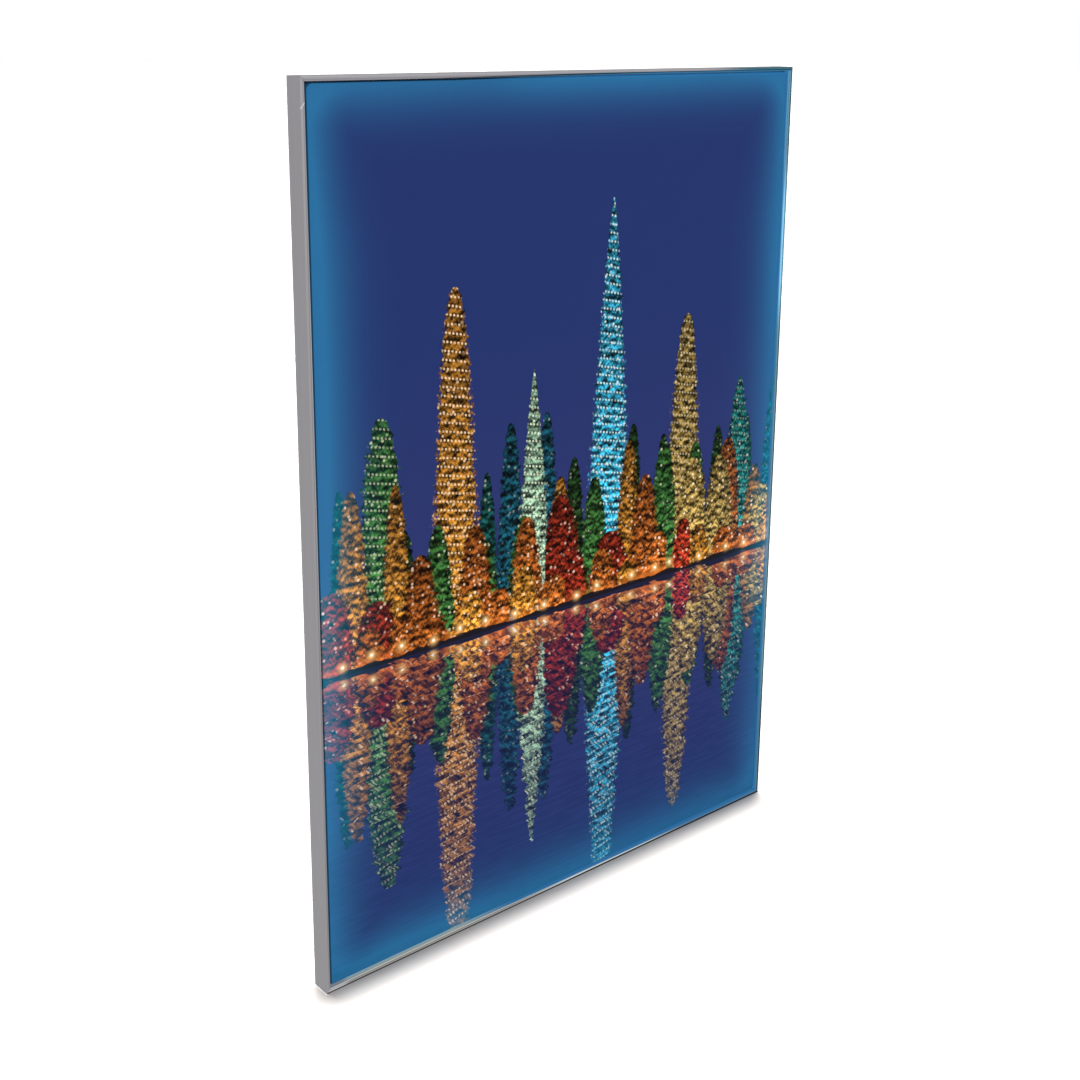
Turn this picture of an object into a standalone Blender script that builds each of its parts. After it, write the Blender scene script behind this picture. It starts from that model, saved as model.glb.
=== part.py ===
"""A slim LED poster frame for one A1 textile print, standing on its lower edge.

Four mitred aluminium profiles are held by corner brackets in a slot along their back. Inside lie a back
panel, a reflector, a light guide with an LED bar at each edge, and a diffuser. The print is a textile whose
silicone edge strips press into a groove behind the lip. Two keyhole hangers slide in the top slot.

Z is up, the front faces -Y, and the origin is the middle of the footprint. A place on a profile is given as
(inward, back, along): inward from its outer face, back from the lip's face, and along its length.
"""

import math

import bmesh
import bpy
from mathutils import Matrix, Vector

MM = 0.001

# Print: an A1 sheet of textile
PRINT_WIDTH = 594 * MM
PRINT_HEIGHT = 841 * MM
PRINT_THICKNESS = 0.5 * MM
PRINT_RECESS = 3 * MM
PRINT_CORNER_RADIUS = 4 * MM

# Gaps between neighbours
SEAT_GAP = 0.3 * MM
SHADOW_GAP = 1 * MM
MITRE_GAP = 0.15 * MM

# Silicone edge strips sewn to the print
KEDER_THICKNESS = 2.6 * MM
KEDER_CORNER_GAP = 5 * MM

# Light stack, from the front
DIFFUSER_THICKNESS = 0.6 * MM
GUIDE_THICKNESS = 5 * MM
REFLECTOR_THICKNESS = 0.5 * MM
PANEL_THICKNESS = 3 * MM
BOARD_THICKNESS = 1.2 * MM
CHIP_HEIGHT = 0.8 * MM
CHIP_WIDTH = 2.8 * MM
CHIP_LENGTH = 3.5 * MM
CHIP_PITCH = 14 * MM
CHIP_SINK = 0.2 * MM
BOARD_CORNER_GAP = 26 * MM
JUMPER_DIAMETER = 1.4 * MM
JUMPER_BEND = 1.8 * MM

# Aluminium profile
LIP_WIDTH = 4 * MM
OUTER_WALL = 1.3 * MM
INNER_WALL = 1.2 * MM
LIP_EDGE_RADIUS = 0.9 * MM
LIP_INNER_RADIUS = 0.7 * MM
BACK_EDGE_RADIUS = 0.5 * MM
RIB_TIP_RADIUS = 0.4 * MM
SLOT_CHAMBER_WIDTH = 14.5 * MM
SLOT_CHAMBER_DEPTH = 5 * MM
SLOT_MOUTH = 6.5 * MM
FLANGE_WIDTH = 6 * MM

# Corner brackets and their set screws
BRACKET_THICKNESS = 2.7 * MM
BRACKET_LEG = 46 * MM
BRACKET_INNER_RADIUS = 0.8 * MM
SET_SCREW_DIAMETER = 5 * MM
SET_SCREW_HOLE_GAP = 0.3 * MM
SET_SCREW_FROM_END = 14 * MM
SET_SCREW_SOCKET_DIAMETER = 2.8 * MM
SET_SCREW_SOCKET_DEPTH = 2 * MM

# Screws that hold the back panel to the flange
PANEL_SCREW_SHANK = 3 * MM
PANEL_SCREW_HEAD = 5.6 * MM
PANEL_SCREW_HEAD_HEIGHT = 2 * MM
PANEL_SCREW_CROWN = 0.8 * MM
PANEL_SCREW_HOLE_GAP = 0.3 * MM
PANEL_SCREW_FROM_CORNER = 190 * MM

# Sliding keyhole hangers
HANGER_WIDTH = 24 * MM
HANGER_HEIGHT = 44 * MM
HANGER_THICKNESS = 1.5 * MM
HANGER_CORNER_RADIUS = 4 * MM
HANGER_FROM_TOP = 2 * MM
HANGER_FROM_CENTRE = 180 * MM
KEYHOLE_ENTRY = 9 * MM
KEYHOLE_SLOT = 4.8 * MM
KEYHOLE_RUN = 12 * MM
KEYHOLE_FROM_END = 9 * MM
SLIDER_LENGTH = 20 * MM
SLIDER_CORNER_RADIUS = 1.5 * MM
SLIDER_THICKNESS = 2.5 * MM
CLAMP_SHANK = 4 * MM
CLAMP_HEAD = 6.8 * MM
CLAMP_HEAD_HEIGHT = 1.4 * MM
CLAMP_HOLE_GAP = 0.3 * MM

# Rubber bumpers, as thick as the hangers so that the frame hangs parallel to the wall
BUMPER_DIAMETER = 12 * MM
BUMPER_BEVEL = 0.5 * MM
BUMPER_STEM_LENGTH = 3 * MM
BUMPER_FROM_CORNER = 100 * MM

# Power box on the back panel, its cover and the power inlet
BOX_WIDTH = 70 * MM
BOX_HEIGHT = 36 * MM
BOX_WALL = 1.6 * MM
BOX_FLOOR = 0.9 * MM
BOX_CORNER_RADIUS = 3 * MM
BOX_COVER_THICKNESS = 1 * MM
BOX_FROM_BOTTOM = 95 * MM
BOSS_DIAMETER = 5 * MM
BOSS_INSET = 6 * MM
COVER_SCREW_SHANK = 2 * MM
COVER_SCREW_HEAD = 3.6 * MM
COVER_SCREW_HEAD_HEIGHT = 0.7 * MM
COVER_SCREW_LENGTH = 4 * MM
COVER_SCREW_HOLE_GAP = 0.3 * MM
INLET_DIAMETER = 4.9 * MM
INLET_BORE = 3.7 * MM
INLET_BORE_DEPTH = 9 * MM
INLET_PIN = 1.3 * MM
INLET_PIN_SETBACK = 1.5 * MM
INLET_LENGTH = 13 * MM
INLET_PROUD = 1.5 * MM

# Small board that carries the inlet and the feed lead
JUNCTION_WIDTH = 24 * MM
JUNCTION_HEIGHT = 12 * MM
JUNCTION_THICKNESS = 1 * MM

# Feed lead, which runs in a slot of the back panel, and the notch through which a power cable leaves
LEAD_DIAMETER = 2 * MM
LEAD_SLOT_GAP = 0.6 * MM
LEAD_HOLE_FROM_SIDE = 9 * MM
NOTCH_WIDTH = 7 * MM
NOTCH_DEPTH = 5.5 * MM

# Modelling
OVERRUN = 2 * MM
WELD = 0.005 * MM
ARC_STEPS = 4
HOLE_SIDES = 16
SCREW_STEPS = 16
SHARP_ANGLE = 35

# Places that follow from the sizes, inward from a profile's outer face
PRINT_EDGE = LIP_WIDTH + SHADOW_GAP
RIB_OUTER = PRINT_EDGE + KEDER_THICKNESS + SEAT_GAP
RIB_INNER = RIB_OUTER + INNER_WALL
STACK_EDGE = RIB_INNER + SEAT_GAP
GUIDE_EDGE = STACK_EDGE + BOARD_THICKNESS + CHIP_HEIGHT + SEAT_GAP
BOX_SECTION = OUTER_WALL + SLOT_CHAMBER_WIDTH + INNER_WALL
FLANGE_EDGE = BOX_SECTION + FLANGE_WIDTH
SLOT_CENTRE = OUTER_WALL + SLOT_CHAMBER_WIDTH / 2
FLANGE_HOLE = BOX_SECTION + FLANGE_WIDTH / 2
LEAD_SLOT_WIDTH = LEAD_DIAMETER + 2 * LEAD_SLOT_GAP

# Places back from the lip's face
PRINT_BACK = PRINT_RECESS + PRINT_THICKNESS
DIFFUSER_FRONT = PRINT_BACK + SEAT_GAP
GUIDE_FRONT = DIFFUSER_FRONT + DIFFUSER_THICKNESS + SEAT_GAP
GUIDE_BACK = GUIDE_FRONT + GUIDE_THICKNESS
REFLECTOR_FRONT = GUIDE_BACK + SEAT_GAP
PANEL_FRONT = REFLECTOR_FRONT + REFLECTOR_THICKNESS + SEAT_GAP
PANEL_BACK = PANEL_FRONT + PANEL_THICKNESS
WEB_FRONT = PANEL_BACK + SEAT_GAP
WEB_BACK = WEB_FRONT + INNER_WALL
SLOT_LIP_FRONT = WEB_BACK + SLOT_CHAMBER_DEPTH
FRAME_DEPTH = SLOT_LIP_FRONT + INNER_WALL
HANGER_FRONT = FRAME_DEPTH + SEAT_GAP
OVERALL_DEPTH = HANGER_FRONT + HANGER_THICKNESS
BOX_FRONT = PANEL_BACK + SEAT_GAP
BOX_DEPTH = BOX_FLOOR + 2 * SEAT_GAP + INLET_DIAMETER
BOX_BACK = BOX_FRONT + BOX_DEPTH
BOX_INSIDE = BOX_FRONT + BOX_FLOOR + SEAT_GAP

# Outer size of the frame
FRAME_WIDTH = PRINT_WIDTH + 2 * PRINT_EDGE
FRAME_HEIGHT = PRINT_HEIGHT + 2 * PRINT_EDGE
FRONT_Y = -OVERALL_DEPTH / 2

# Middle of the power box, beside the right profile's flange
BOX_X = FRAME_WIDTH / 2 - FLANGE_EDGE - SEAT_GAP - BOX_WIDTH / 2
BOX_Z = BOX_FROM_BOTTOM + BOX_HEIGHT / 2

# Each side's turn about Y from the left side, and the names of the corners
SIDE_TURNS = {"left": 0, "top": 90, "right": 180, "bottom": -90}
CORNERS = ("top_left", "top_right", "bottom_left", "bottom_right")


def clear_scene():
    """Remove what the file opened with."""
    for obj in list(bpy.data.objects):
        bpy.data.objects.remove(obj)


def new_collection(name):
    collection = bpy.data.collections.new(name)
    bpy.context.scene.collection.children.link(collection)
    return collection


def new_material(name, colour, roughness, metallic=0.0):
    material = bpy.data.materials.new(name)
    material.use_nodes = True
    shader = material.node_tree.nodes["Principled BSDF"]
    shader.inputs["Base Color"].default_value = (*colour, 1.0)
    shader.inputs["Roughness"].default_value = roughness
    shader.inputs["Metallic"].default_value = metallic
    return material


clear_scene()
FRAME = new_collection("led_poster_frame")
TOOLS = new_collection("cutters")
ALUMINIUM = new_material("satin_aluminium", (0.29, 0.29, 0.31), 0.38, 1.0)
STEEL = new_material("zinc_steel", (0.52, 0.53, 0.54), 0.35, 1.0)
TEXTILE = new_material("printed_textile", (0.03, 0.09, 0.30), 0.75)
SILICONE = new_material("clear_silicone", (0.62, 0.63, 0.62), 0.55)
ACRYLIC = new_material("light_guide_acrylic", (0.80, 0.86, 0.88), 0.10)
OPAL = new_material("opal_diffuser", (0.88, 0.89, 0.90), 0.45)
WHITE_FILM = new_material("white_reflector", (0.92, 0.92, 0.92), 0.50)
BACK_SHEET = new_material("grey_white_panel", (0.70, 0.71, 0.72), 0.55)
BOARD = new_material("white_led_board", (0.85, 0.85, 0.82), 0.40)
GREEN_BOARD = new_material("green_circuit_board", (0.02, 0.16, 0.06), 0.45)
BLACK_PLASTIC = new_material("black_plastic", (0.02, 0.02, 0.022), 0.45)
BLACK_RUBBER = new_material("black_rubber", (0.025, 0.025, 0.025), 0.80)
LEAD_JACKET = new_material("white_lead_jacket", (0.80, 0.80, 0.78), 0.50)


def place(name, mesh, material, matrix=None, collection=None):
    """Make a named object of a mesh, put it at matrix, and give it its material."""
    obj = bpy.data.objects.new(name, mesh)
    (collection or FRAME).objects.link(obj)
    obj.matrix_world = matrix or Matrix.Identity(4)
    if not mesh.materials:
        mesh.materials.append(material)
    return obj


def as_tool(obj):
    """Keep a cutter out of the render and show it as wires."""
    obj.hide_render = True
    obj.display_type = "WIRE"
    return obj


def side_matrix(side):
    """Carries (inward, back, along) of one side into the world, from the middle of its outer edge."""
    places = {
        "left": (-FRAME_WIDTH / 2, FRAME_HEIGHT / 2),
        "right": (FRAME_WIDTH / 2, FRAME_HEIGHT / 2),
        "bottom": (0, 0),
        "top": (0, FRAME_HEIGHT),
    }
    x, z = places[side]
    turn = Matrix.Rotation(math.radians(SIDE_TURNS[side]), 4, "Y")
    return Matrix.Translation((x, FRONT_Y, z)) @ turn


def side_length(side):
    return FRAME_HEIGHT if side in ("left", "right") else FRAME_WIDTH


def arc(centre, radius, start, end, steps=ARC_STEPS):
    """Points on an arc from start to end degrees, both ends included."""
    angles = [math.radians(start + (end - start) * i / steps) for i in range(steps + 1)]
    return [(centre[0] + radius * math.cos(a), centre[1] + radius * math.sin(a)) for a in angles]


def circle(centre, radius, sides=HOLE_SIDES):
    return arc(centre, radius, 0, 360 * (sides - 1) / sides, sides - 1)


def rounded_rectangle(width, height, radius, centre=(0, 0)):
    x, y = width / 2 - radius, height / 2 - radius
    corners = [(x, y, 0), (-x, y, 90), (-x, -y, 180), (x, -y, 270)]
    points = []
    for cx, cy, start in corners:
        points += arc((centre[0] + cx, centre[1] + cy), radius, start, start + 90)
    return points


def shade_round(mesh):
    """Smooth shading, with the real edges left sharp."""
    mesh.shade_smooth()
    mesh.set_sharp_from_angle(angle=math.radians(SHARP_ANGLE))
    return mesh


def upright(point):
    """Stands a flat outline at point, seen from the front, its thickness along Y."""
    return Matrix.Translation(point) @ Matrix.Rotation(math.radians(90), 4, "X")


def outline_mesh(name, outlines, thickness):
    """A flat outline, with any holes, as a closed mesh of this thickness about its own XY plane."""
    curve = bpy.data.curves.new(name, "CURVE")
    curve.dimensions = "2D"
    curve.fill_mode = "BOTH"
    curve.extrude = thickness / 2
    for outline in outlines:
        spline = curve.splines.new("POLY")
        spline.points.add(len(outline) - 1)
        for point, (x, y) in zip(spline.points, outline):
            point.co = (x, y, 0, 1)
        spline.use_cyclic_u = True
    carrier = bpy.data.objects.new(name, curve)
    TOOLS.objects.link(carrier)
    graph = bpy.context.evaluated_depsgraph_get()
    mesh = bpy.data.meshes.new_from_object(carrier.evaluated_get(graph))
    bpy.data.objects.remove(carrier)
    shape = bmesh.new()
    shape.from_mesh(mesh)
    bmesh.ops.remove_doubles(shape, verts=shape.verts, dist=WELD)
    shape.to_mesh(mesh)
    shape.free()
    return shade_round(mesh)


def block_mesh(name, size):
    """A box of this size about its own origin."""
    shape = bmesh.new()
    bmesh.ops.create_cube(shape, size=1)
    bmesh.ops.scale(shape, vec=size, verts=shape.verts)
    mesh = bpy.data.meshes.new(name)
    shape.to_mesh(mesh)
    shape.free()
    return mesh


def block(name, low, high, material, matrix=None, collection=None):
    """A box between two corners, measured in the space that matrix carries."""
    low, high = Vector(low), Vector(high)
    middle = (matrix or Matrix.Identity(4)) @ Matrix.Translation((low + high) / 2)
    return place(name, block_mesh(name, high - low), material, middle, collection)


def turned_mesh(name, profile):
    """A closed mesh turned about Z from (radius, height) points that run down its outer side."""
    line = bpy.data.meshes.new(name)
    shape = bmesh.new()
    points = [shape.verts.new((radius, 0, height)) for radius, height in profile]
    for first, second in zip(points, points[1:]):
        shape.edges.new((first, second))
    shape.to_mesh(line)
    shape.free()
    carrier = bpy.data.objects.new(name, line)
    TOOLS.objects.link(carrier)
    screw = carrier.modifiers.new("turn", "SCREW")
    screw.steps = SCREW_STEPS
    screw.render_steps = SCREW_STEPS
    screw.use_merge_vertices = True
    screw.merge_threshold = WELD
    graph = bpy.context.evaluated_depsgraph_get()
    mesh = bpy.data.meshes.new_from_object(carrier.evaluated_get(graph))
    bpy.data.objects.remove(carrier)
    return shade_round(mesh)


def tube(name, points, diameter, material, matrix=None):
    """A round wire through points."""
    curve = bpy.data.curves.new(name, "CURVE")
    curve.dimensions = "3D"
    curve.bevel_depth = diameter / 2
    curve.bevel_resolution = 2
    curve.use_fill_caps = True
    spline = curve.splines.new("POLY")
    spline.points.add(len(points) - 1)
    for point, place_on_wire in zip(spline.points, points):
        point.co = (*place_on_wire, 1)
    curve.materials.append(material)
    obj = bpy.data.objects.new(name, curve)
    FRAME.objects.link(obj)
    obj.matrix_world = matrix or Matrix.Identity(4)
    return obj


def cylinder_cutter(name, diameter, length, matrices, top_diameter=None):
    """One cutter with a cylinder or cone about Z at each of matrices."""
    shape = bmesh.new()
    for matrix in matrices:
        bmesh.ops.create_cone(
            shape,
            cap_ends=True,
            segments=HOLE_SIDES,
            radius1=diameter / 2,
            radius2=(top_diameter or diameter) / 2,
            depth=length,
            matrix=matrix,
        )
    mesh = bpy.data.meshes.new(name)
    shape.to_mesh(mesh)
    shape.free()
    return as_tool(place(name, mesh, ALUMINIUM, collection=TOOLS))


def boolean(obj, tool, operation="DIFFERENCE"):
    modifier = obj.modifiers.new(operation.lower(), "BOOLEAN")
    modifier.operation = operation
    modifier.object = tool
    return obj


def facing_back(point):
    """Stands a shape turned about Z at point, with its top towards the back."""
    return Matrix.Translation(point) @ Matrix.Rotation(math.radians(-90), 4, "X")


def profile_section():
    """The extrusion's outline and its closed lip chamber, as (inward, back) points."""
    mouth_outer = SLOT_CENTRE - SLOT_MOUTH / 2
    mouth_inner = SLOT_CENTRE + SLOT_MOUTH / 2
    chamber_inner = OUTER_WALL + SLOT_CHAMBER_WIDTH
    rib_front = PRINT_BACK + SEAT_GAP
    lip = arc((LIP_EDGE_RADIUS, LIP_EDGE_RADIUS), LIP_EDGE_RADIUS, 180, 270)
    lip_inner = arc((LIP_WIDTH - LIP_INNER_RADIUS, LIP_INNER_RADIUS), LIP_INNER_RADIUS, 270, 360)
    rib_tip_outer = arc((RIB_OUTER + RIB_TIP_RADIUS, rib_front + RIB_TIP_RADIUS), RIB_TIP_RADIUS, 180, 270)
    rib_tip_inner = arc((RIB_INNER - RIB_TIP_RADIUS, rib_front + RIB_TIP_RADIUS), RIB_TIP_RADIUS, 270, 360)
    back_edge = arc((BACK_EDGE_RADIUS, FRAME_DEPTH - BACK_EDGE_RADIUS), BACK_EDGE_RADIUS, 90, 180)
    outline = [
        *lip,
        *lip_inner,
        (LIP_WIDTH, WEB_FRONT),
        (RIB_OUTER, WEB_FRONT),
        *rib_tip_outer,
        *rib_tip_inner,
        (RIB_INNER, WEB_FRONT),
        (FLANGE_EDGE, WEB_FRONT),
        (FLANGE_EDGE, WEB_BACK),
        (BOX_SECTION, WEB_BACK),
        (BOX_SECTION, FRAME_DEPTH),
        (mouth_inner, FRAME_DEPTH),
        (mouth_inner, SLOT_LIP_FRONT),
        (chamber_inner, SLOT_LIP_FRONT),
        (chamber_inner, WEB_BACK),
        (OUTER_WALL, WEB_BACK),
        (OUTER_WALL, SLOT_LIP_FRONT),
        (mouth_outer, SLOT_LIP_FRONT),
        (mouth_outer, FRAME_DEPTH),
        *back_edge,
    ]
    chamber = [
        (OUTER_WALL, OUTER_WALL),
        (LIP_WIDTH - INNER_WALL, OUTER_WALL),
        (LIP_WIDTH - INNER_WALL, WEB_FRONT),
        (OUTER_WALL, WEB_FRONT),
    ]
    return [outline, chamber]


def mitred_profile(side):
    """One extrusion, its ends cut at 45 degrees."""
    name = f"{side}_profile"
    mesh = outline_mesh(name, profile_section(), side_length(side))
    half = side_length(side) / 2 - MITRE_GAP
    for vertex in mesh.vertices:
        reach = half - vertex.co.x
        vertex.co.z = math.copysign(reach, vertex.co.z)
    profile = place(name, mesh, ALUMINIUM, side_matrix(side))
    holes = [
        facing_back(side_matrix(side) @ Vector((FLANGE_HOLE, WEB_FRONT + INNER_WALL / 2, along)))
        for along in panel_screw_places(side)
    ]
    cutter = cylinder_cutter(
        f"{side}_flange_holes",
        PANEL_SCREW_SHANK + 2 * PANEL_SCREW_HOLE_GAP,
        INNER_WALL + 2 * OVERRUN,
        holes,
    )
    return boolean(profile, cutter)


def panel_screw_places(side):
    reach = side_length(side) / 2 - PANEL_SCREW_FROM_CORNER
    return (-reach, reach)


def cut_cable_notch(profile):
    """The notch across the back of the bottom profile, straight below the power inlet."""
    low = (BOX_X - NOTCH_WIDTH / 2, FRONT_Y + FRAME_DEPTH - NOTCH_DEPTH, -OVERRUN)
    high = (BOX_X + NOTCH_WIDTH / 2, FRONT_Y + FRAME_DEPTH + OVERRUN, BOX_SECTION + OVERRUN)
    boolean(profile, as_tool(block("cable_notch", low, high, ALUMINIUM, collection=TOOLS)))


def corner_brackets():
    """An L-shaped plate in the slots of each two profiles, and a set screw in each leg."""
    near = OUTER_WALL + SEAT_GAP
    far = OUTER_WALL + SLOT_CHAMBER_WIDTH - SEAT_GAP
    bend_centre = far + BRACKET_INNER_RADIUS
    inner_bend = arc((bend_centre, bend_centre), BRACKET_INNER_RADIUS, 270, 180)
    screw_at = BRACKET_LEG - SET_SCREW_FROM_END
    hole = SET_SCREW_DIAMETER / 2 + SET_SCREW_HOLE_GAP
    legs = [(near, BRACKET_LEG), (near, near), (BRACKET_LEG, near), (BRACKET_LEG, far)]
    outlines = [
        [*legs, *inner_bend, (far, BRACKET_LEG)],
        circle((screw_at, SLOT_CENTRE), hole),
        circle((SLOT_CENTRE, screw_at), hole),
    ]
    plate = outline_mesh("corner_bracket", outlines, BRACKET_THICKNESS)
    plate_back = SLOT_LIP_FRONT - SEAT_GAP
    screw_tip = WEB_BACK + SEAT_GAP
    top = plate_back - screw_tip
    socket = SET_SCREW_SOCKET_DIAMETER / 2
    body = SET_SCREW_DIAMETER / 2
    set_screw = [(0, top - SET_SCREW_SOCKET_DEPTH), (socket, top - SET_SCREW_SOCKET_DEPTH), (socket, top)]
    set_screw += [(body, top), (body, 0), (0, 0)]
    screw_mesh = turned_mesh("set_screw", set_screw)
    for corner in CORNERS:
        x_sign = 1 if "right" in corner else -1
        up_sign = 1 if "top" in corner else -1
        corner_x = x_sign * FRAME_WIDTH / 2
        corner_z = FRAME_HEIGHT if up_sign > 0 else 0
        middle = FRONT_Y + plate_back - BRACKET_THICKNESS / 2
        quarter = {(-1, -1): 0, (1, -1): 90, (1, 1): 180, (-1, 1): 270}[(x_sign, up_sign)]
        turn = Matrix.Rotation(math.radians(quarter), 4, "Z")
        place(f"corner_bracket_{corner}", plate, STEEL, upright((corner_x, middle, corner_z)) @ turn)
        spots = {
            "upright": (corner_x - x_sign * SLOT_CENTRE, corner_z - up_sign * screw_at),
            "level": (corner_x - x_sign * screw_at, corner_z - up_sign * SLOT_CENTRE),
        }
        for leg, (x, z) in spots.items():
            matrix = facing_back((x, FRONT_Y + screw_tip, z))
            place(f"set_screw_{corner}_{leg}", screw_mesh, STEEL, matrix)


def stack_sheet(name, edge, front, thickness, material):
    """A flat sheet between the profiles, its edge this far inward of the frame's outer face."""
    low = (edge - FRAME_WIDTH / 2, FRONT_Y + front, edge)
    high = (FRAME_WIDTH / 2 - edge, FRONT_Y + front + thickness, FRAME_HEIGHT - edge)
    return block(name, low, high, material)


def back_panel():
    """The panel behind the light guide, with screw holes and a slot in its edge for the feed lead."""
    half_width = FRAME_WIDTH / 2 - STACK_EDGE
    half_height = FRAME_HEIGHT / 2 - STACK_EDGE
    slot_z = BOX_Z - FRAME_HEIGHT / 2
    slot_end = arc((lead_hole_x(), slot_z), LEAD_SLOT_WIDTH / 2, 270, 90)
    outline = [
        (-half_width, -half_height),
        (half_width, -half_height),
        (half_width, slot_z - LEAD_SLOT_WIDTH / 2),
        *slot_end,
        (half_width, slot_z + LEAD_SLOT_WIDTH / 2),
        (half_width, half_height),
        (-half_width, half_height),
    ]
    outlines = [outline]
    for x, z in panel_screw_points():
        outlines.append(circle((x, z - FRAME_HEIGHT / 2), PANEL_SCREW_SHANK / 2 + PANEL_SCREW_HOLE_GAP))
    mesh = outline_mesh("back_panel", outlines, PANEL_THICKNESS)
    middle = (0, FRONT_Y + PANEL_FRONT + PANEL_THICKNESS / 2, FRAME_HEIGHT / 2)
    place("back_panel", mesh, BACK_SHEET, upright(middle))


def panel_screw_points():
    """World (x, z) of every screw that holds the back panel."""
    points = []
    for side in SIDE_TURNS:
        for along in panel_screw_places(side):
            spot = side_matrix(side) @ Vector((FLANGE_HOLE, 0, along))
            points.append((spot.x, spot.z))
    return points


def panel_screws():
    """Pan-head screws through the flange into the back panel, from the back."""
    tip = PANEL_FRONT + SEAT_GAP
    seat = WEB_BACK + SEAT_GAP - tip
    crown = seat + PANEL_SCREW_HEAD_HEIGHT
    head = PANEL_SCREW_HEAD / 2
    shank = PANEL_SCREW_SHANK / 2
    profile = [(0, crown), (head - PANEL_SCREW_CROWN, crown), (head, crown - PANEL_SCREW_CROWN)]
    profile += [(head, seat), (shank, seat), (shank, 0), (0, 0)]
    mesh = turned_mesh("panel_screw", profile)
    for number, (x, z) in enumerate(panel_screw_points(), 1):
        place(f"panel_screw_{number}", mesh, STEEL, facing_back((x, FRONT_Y + tip, z)))


def led_bar(side):
    """A board along the rib of one side, with a row of chips that face the light guide's edge."""
    half = side_length(side) / 2 - BOARD_CORNER_GAP
    board_face = STACK_EDGE + BOARD_THICKNESS
    low = (STACK_EDGE, GUIDE_FRONT, -half)
    high = (board_face, GUIDE_BACK, half)
    board = block(f"led_bar_{side}", low, high, BOARD, side_matrix(side))
    count = int((2 * half - CHIP_LENGTH) / CHIP_PITCH)
    middle = (GUIDE_FRONT + GUIDE_BACK) / 2
    size = (CHIP_HEIGHT + CHIP_SINK, CHIP_WIDTH, CHIP_LENGTH)
    shape = bmesh.new()
    for number in range(count):
        along = (number - (count - 1) / 2) * CHIP_PITCH
        centre = Matrix.Translation((board_face + (CHIP_HEIGHT - CHIP_SINK) / 2, middle, along))
        bmesh.ops.create_cube(shape, size=1, matrix=centre @ Matrix.Diagonal((*size, 1)))
    mesh = bpy.data.meshes.new(f"led_chips_{side}")
    shape.to_mesh(mesh)
    shape.free()
    chips = as_tool(place(f"led_chips_{side}", mesh, BOARD, side_matrix(side), TOOLS))
    return boolean(board, chips, "UNION")


def led_jumpers():
    """Short wires that carry the current round a corner from one LED bar to the next."""
    inset = STACK_EDGE + JUMPER_DIAMETER / 2 + SEAT_GAP
    start = BOARD_CORNER_GAP - SEAT_GAP
    bend = arc((inset + JUMPER_BEND, inset + JUMPER_BEND), JUMPER_BEND, 180, 270)
    plan = [(inset, start), *bend, (start, inset)]
    depth = FRONT_Y + (GUIDE_FRONT + GUIDE_BACK) / 2
    for corner in ("top_left", "top_right", "bottom_left"):
        x_sign = 1 if "right" in corner else -1
        up_sign = 1 if "top" in corner else -1
        corner_z = FRAME_HEIGHT if up_sign > 0 else 0
        points = [(x_sign * (FRAME_WIDTH / 2 - x), depth, corner_z - up_sign * z) for x, z in plan]
        tube(f"led_jumper_{corner}", points, JUMPER_DIAMETER, LEAD_JACKET)


def print_with_strips():
    """The textile and the silicone strips along its edges, which stand in the groove."""
    outline = rounded_rectangle(PRINT_WIDTH, PRINT_HEIGHT, PRINT_CORNER_RADIUS)
    mesh = outline_mesh("print_textile", [outline], PRINT_THICKNESS)
    middle = (0, FRONT_Y + PRINT_RECESS + PRINT_THICKNESS / 2, FRAME_HEIGHT / 2)
    place("print_textile", mesh, TEXTILE, upright(middle))
    for side in SIDE_TURNS:
        half = side_length(side) / 2 - PRINT_EDGE - KEDER_CORNER_GAP
        low = (PRINT_EDGE, PRINT_BACK + SEAT_GAP, -half)
        high = (PRINT_EDGE + KEDER_THICKNESS, WEB_FRONT - SEAT_GAP, half)
        block(f"keder_{side}", low, high, SILICONE, side_matrix(side))


def keyhole(centre_x, entry_y):
    """A keyhole outline whose narrow end points up."""
    entry, slot = KEYHOLE_ENTRY / 2, KEYHOLE_SLOT / 2
    opening = math.degrees(math.asin(slot / entry))
    lower = arc((centre_x, entry_y), entry, 90 + opening, 450 - opening, 3 * ARC_STEPS)
    upper = arc((centre_x, entry_y + KEYHOLE_RUN), slot, 0, 180, 2 * ARC_STEPS)
    return [*lower, *upper]


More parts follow.
